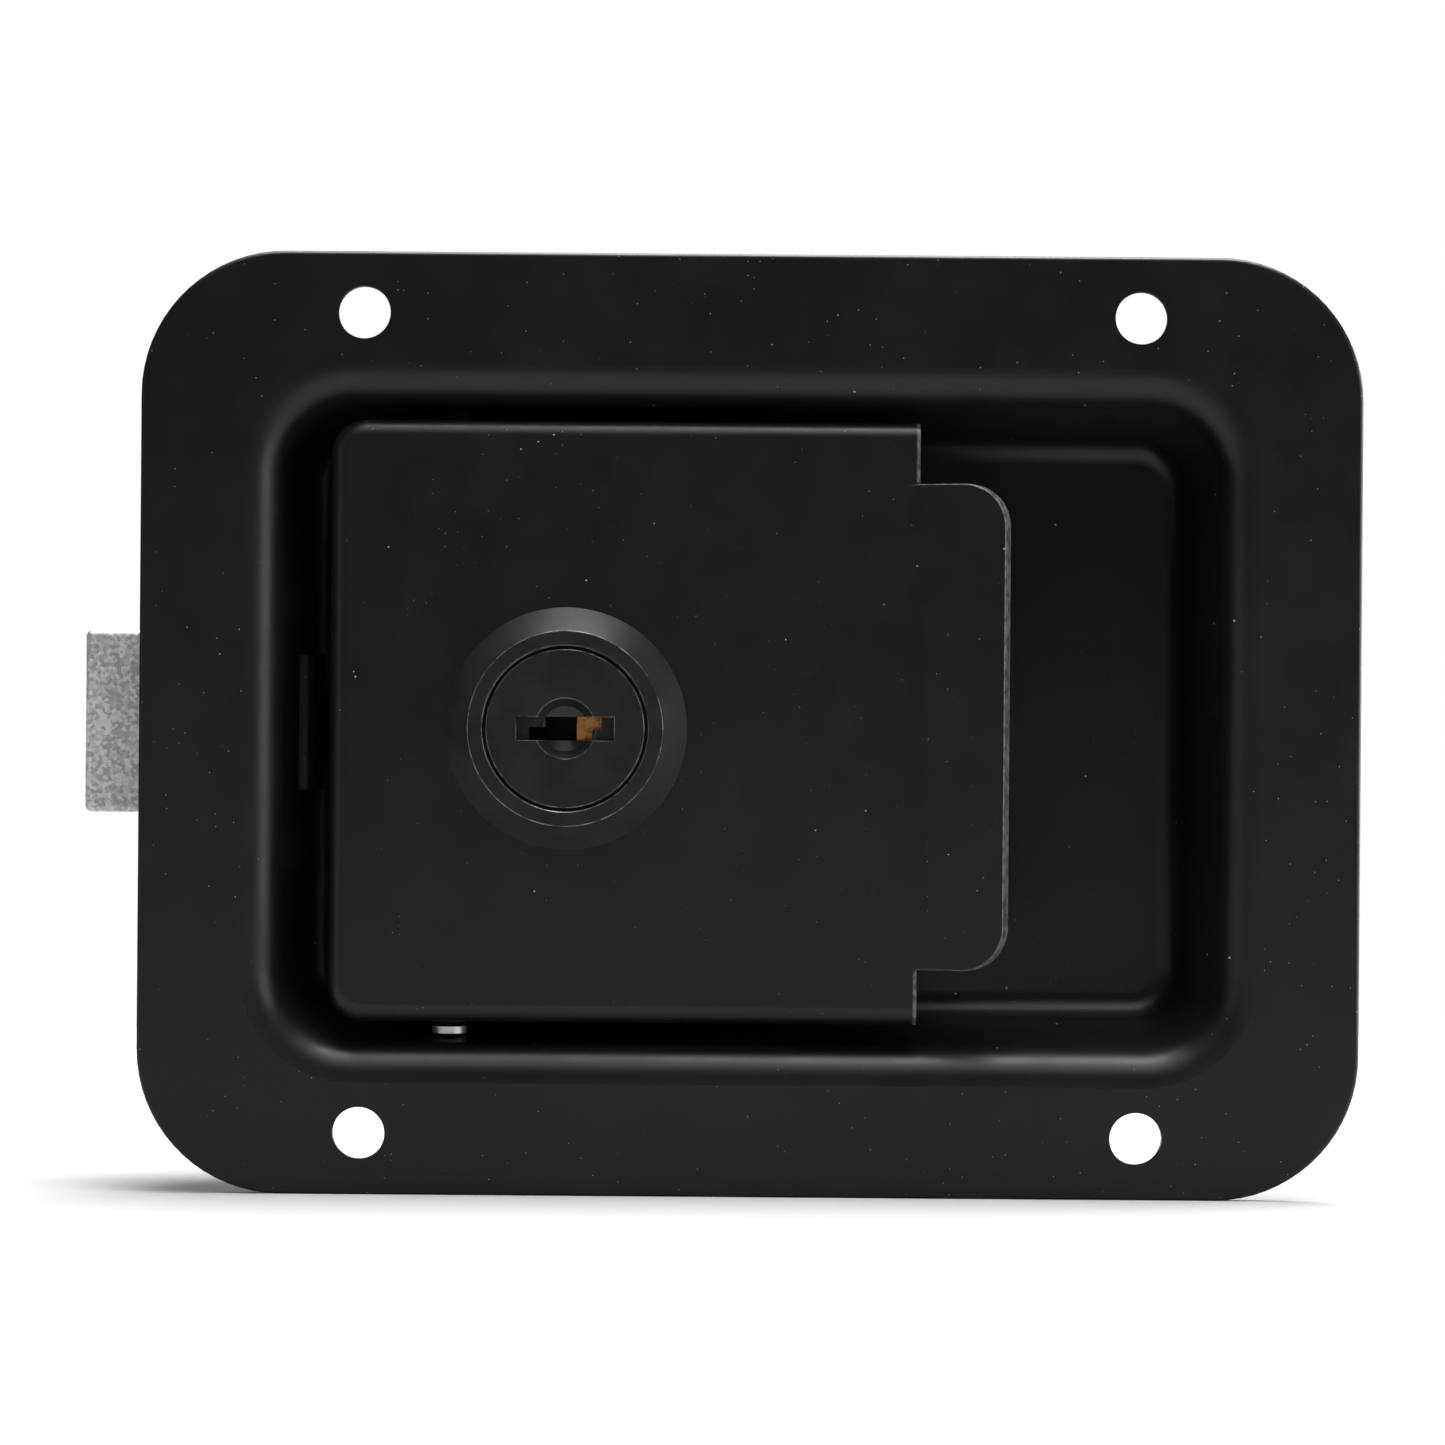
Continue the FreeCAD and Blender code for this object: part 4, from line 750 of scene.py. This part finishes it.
def paddle_spring_mesh(springs):
    """Torsion spring on the pin: leg along the paddle's back, coil, leg down to the floor."""
    low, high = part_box("paddle_spring")
    wire = springs.paddle_wire
    radius = PIN_AXIS.y - low.y - wire / 2
    slope = springs.paddle_slope
    turns = springs.paddle_turns + 0.5 - slope / (2.0 * math.pi)
    rise = high.z - low.z - wire
    coil = coil_path(radius, turns, springs.steps_per_turn, [(0.0, 0.0), (turns, rise)],
                     -math.pi / 2)
    coil += np.array([PIN_AXIS.x, PIN_AXIS.y, low.z + wire / 2])
    share = np.linspace(0.0, 1.0, LEG_STEPS, endpoint=False)[:, None]
    first_end = np.array([low.x + wire / 2, coil[0, 1], coil[0, 2]])
    first_leg = first_end + share * (coil[0] - first_end)
    floor_drop = high.y - wire / 2 - coil[-1, 1]
    last_end = coil[-1] + np.array([-floor_drop / math.tan(slope), floor_drop, 0.0])
    last_leg = coil[-1] + (share + 1.0 / LEG_STEPS) * (last_end - coil[-1])
    path = np.vstack([first_leg, coil, last_leg])
    return tube_mesh("torsion", path, wire / 2, PADDLE_WIRE_SIDES, (0.0, 0.0, 1.0))


# ---- operators ----

class LATCH_OT_stage(Operator):
    """Sets the floor, the soft lights and the camera"""

    bl_idname = "latch.stage"
    bl_label = "Stage"

    def execute(self, context):
        stage = context.scene.latch_stage
        scene = context.scene
        scene.view_settings.view_transform = "Standard"
        for leftover in [o for o in bpy.data.objects if o.name in ("Cube", "Light", "Camera")]:
            bpy.data.objects.remove(leftover)
        self.add_floor(stage)
        self.add_world(scene, stage)
        self.add_lights()
        self.add_camera(scene, stage)
        return {"FINISHED"}

    def add_floor(self, stage):
        reach = FLOOR_REACH
        height = CAD_BOX[0][2]
        corners = [(-reach, -reach, height), (reach, -reach, height), (reach, reach, height),
                   (-reach, reach, height)]
        mesh = bpy.data.meshes.new("floor")
        mesh.from_pydata(corners, [], [(0, 1, 2, 3)])
        floor = add_piece("floor", mesh, floor_material("pale_floor", stage.floor_colour))

    def add_world(self, scene, stage):
        """White behind the object, and a dim even light from all round."""
        world = bpy.data.worlds.new("studio")
        world.use_nodes = True
        scene.world = world
        nodes = world.node_tree.nodes
        links = world.node_tree.links
        seen = nodes.new("ShaderNodeBackground")
        seen.inputs["Color"].default_value = (1.0, 1.0, 1.0, 1.0)
        fill = nodes["Background"]
        fill.inputs["Color"].default_value = (stage.fill, stage.fill, stage.fill, 1.0)
        ray = nodes.new("ShaderNodeLightPath")
        mix = nodes.new("ShaderNodeMixShader")
        links.new(ray.outputs["Is Camera Ray"], mix.inputs[0])
        links.new(fill.outputs[0], mix.inputs[1])
        links.new(seen.outputs[0], mix.inputs[2])
        links.new(mix.outputs[0], nodes["World Output"].inputs[0])

    def add_lights(self):
        """Soft boxes: name, place, width, height and brightness of the lit face."""
        boxes = [
            ("top_box", (0.07, 0.10, 0.80), 0.58, 0.62, 21.0),
            ("high_box", (0.03, -0.42, 0.72), 0.62, 0.42, 3.6),
            ("right_front_box", (0.80, -0.38, 0.05), 0.45, 0.50, 5.0),
            ("right_back_box", (0.88, 0.26, 0.05), 0.42, 0.50, 13.0),
            ("left_box", (-0.80, -0.50, 0.10), 0.35, 0.60, 0.9),
            ("front_box", (0.10, -1.30, -0.10), 1.40, 1.40, 0.09),
        ]
        for name, place, width, height, brightness in boxes:
            data = bpy.data.lights.new(name, "AREA")
            data.shape = "RECTANGLE"
            data.size = width
            data.size_y = height
            data.energy = brightness * math.pi * width * height
            lamp = bpy.data.objects.new(name, data)
            bpy.context.scene.collection.objects.link(lamp)
            lamp.location = place
            lamp.rotation_euler = (-Vector(place)).to_track_quat("-Z", "Y").to_euler()
            lamp.visible_camera = False

    def add_camera(self, scene, stage):
        data = bpy.data.cameras.new("front_camera")
        data.sensor_width = SENSOR_WIDTH
        data.lens = data.sensor_width * stage.camera_distance / stage.view_width
        data.clip_start = 0.01
        camera = bpy.data.objects.new("front_camera", data)
        scene.collection.objects.link(camera)
        turn = Matrix.Rotation(math.pi / 2, 4, "X") @ Matrix.Rotation(stage.camera_roll, 4, "Z")
        place = Matrix.Translation((-stage.camera_side, PLATE_LOW.y - stage.camera_distance,
                                    stage.camera_up))
        camera.matrix_world = place @ turn
        scene.camera = camera


class LATCH_OT_coated(Operator):
    """Powder coats the dish, the paddle, the spring seat and the release leg"""

    bl_idname = "latch.coated"
    bl_label = "Coated sheet"

    def execute(self, context):
        coat = context.scene.latch_coat
        dress("pan", coat_material("black_coat_dish", coat))
        dress("paddle", coat_material("black_coat_paddle", coat, paddle_edges))
        small = coat_material("black_coat_small", coat)
        for node in ("spring_seat", "release_leg"):
            dress(node, small)
        return {"FINISHED"}


class LATCH_OT_lock(Operator):
    """Finishes the lock's bezel, plug and wafers"""

    bl_idname = "latch.lock"
    bl_label = "Key lock"

    def execute(self, context):
        lock = context.scene.latch_lock
        rim = (BEZEL_HIGH.x - BEZEL_LOW.x) / 2 - BEZEL_RIM_INSET
        head = (PLUG_HIGH.x - PLUG_LOW.x) / 2
        dress("lock_body", lock_material("lacquer_bezel", lock, [rim, head + BEZEL_BORE_GAP]))
        dress("lock_plug", lock_material("lacquer_plug", lock, [head - PLUG_RIM_INSET, KEY_DISH_R],
                                         slot=True))
        dress("wafers", brass_material("wafer_brass", lock))
        return {"FINISHED"}


class LATCH_OT_bolt(Operator):
    """Gives the bolt its cast skin"""

    bl_idname = "latch.bolt"
    bl_label = "Cast bolt"

    def execute(self, context):
        dress("latch_bolt", cast_material("cast_zinc_skin", context.scene.latch_bolt))
        return {"FINISHED"}


class LATCH_OT_hardware(Operator):
    """Plates the case, draw bar, keeper, cam, pin, rivets, nut, washers, screw and clips"""

    bl_idname = "latch.hardware"
    bl_label = "Plated hardware"

    def execute(self, context):
        hardware = context.scene.latch_hardware
        zinc = tuple(hardware.zinc)
        rough = hardware.roughness
        sheet = plated_material("zinc_sheet_finish", zinc, rough, (0.06, 1.0, 1.0))
        for node in ("bolt_case", "draw_bar", "lock_keeper", "cam"):
            dress(node, sheet)
        turned = plated_material("zinc_turned_finish", zinc, rough - 0.04)
        for node in ("case_rivets", "keeper_rivets", "draw_bar_rivets", "lock_nut", "lock_washer",
                     "cam_washer", "cam_screw"):
            dress(node, turned)
        bright = tuple(1.15 * c for c in zinc)
        # the pin shows its plate only just below the paddle; the rest is painted black as painted
        # shade
        unshaded_band = (PADDLE_LOW.z - PIN_UNSHADED_LOW, PADDLE_LOW.z - PIN_UNSHADED_HIGH)
        dress("hinge_pin", plated_material("zinc_pin_finish", bright, rough + 0.1,
                                           (1.0, 1.0, 12.0), unshaded_band))
        dress("pin_clips", plated_material("phosphate_finish", tuple(hardware.dark_steel), 0.45))
        return {"FINISHED"}


class LATCH_OT_springs(Operator):
    """Winds the two bolt springs and the paddle's torsion spring"""

    bl_idname = "latch.springs"
    bl_label = "Springs"

    def execute(self, context):
        springs = context.scene.latch_springs
        wire = wire_material("drawn_wire")
        dress("wafer_springs", wire)
        self.add_bolt_springs(springs, wire)
        self.add_paddle_spring(springs, wire)
        return {"FINISHED"}

    def add_bolt_springs(self, springs, wire):
        mesh = joined_meshes("bolt_coils", bolt_spring_meshes(springs))
        piece = add_piece("bolt_coils", mesh, wire)
        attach(piece, "housing")
        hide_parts("bolt_springs")
        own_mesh(piece)

    def add_paddle_spring(self, springs, wire):
        piece = add_piece("paddle_coil", paddle_spring_mesh(springs), wire)
        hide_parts("paddle_spring")
        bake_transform(piece)


class LATCH_PT_panel(Panel):
    """Lists the latch's steps in the sidebar"""

    bl_idname = "LATCH_PT_panel"
    bl_label = "Flush paddle latch"
    bl_space_type = "VIEW_3D"
    bl_region_type = "UI"
    bl_category = "Latch"

    def draw(self, context):
        for operator in OPERATORS:
            self.layout.operator(operator.bl_idname)


OPERATORS = (LATCH_OT_stage, LATCH_OT_coated, LATCH_OT_lock, LATCH_OT_bolt, LATCH_OT_hardware,
             LATCH_OT_springs)


def register():
    for group in GROUPS.values():
        bpy.utils.register_class(group)
    for name, group in GROUPS.items():
        setattr(bpy.types.Scene, name, PointerProperty(type=group))
    for operator in OPERATORS:
        bpy.utils.register_class(operator)
    bpy.utils.register_class(LATCH_PT_panel)


def unregister():
    bpy.utils.unregister_class(LATCH_PT_panel)
    for operator in reversed(OPERATORS):
        bpy.utils.unregister_class(operator)
    for name in GROUPS:
        delattr(bpy.types.Scene, name)
    for group in reversed(list(GROUPS.values())):
        bpy.utils.unregister_class(group)


def main():
    """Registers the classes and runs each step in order."""
    register()
    bpy.ops.latch.stage()
    bpy.ops.latch.coated()
    bpy.ops.latch.lock()
    bpy.ops.latch.bolt()
    bpy.ops.latch.hardware()
    bpy.ops.latch.springs()


if __name__ == "__main__":
    main()
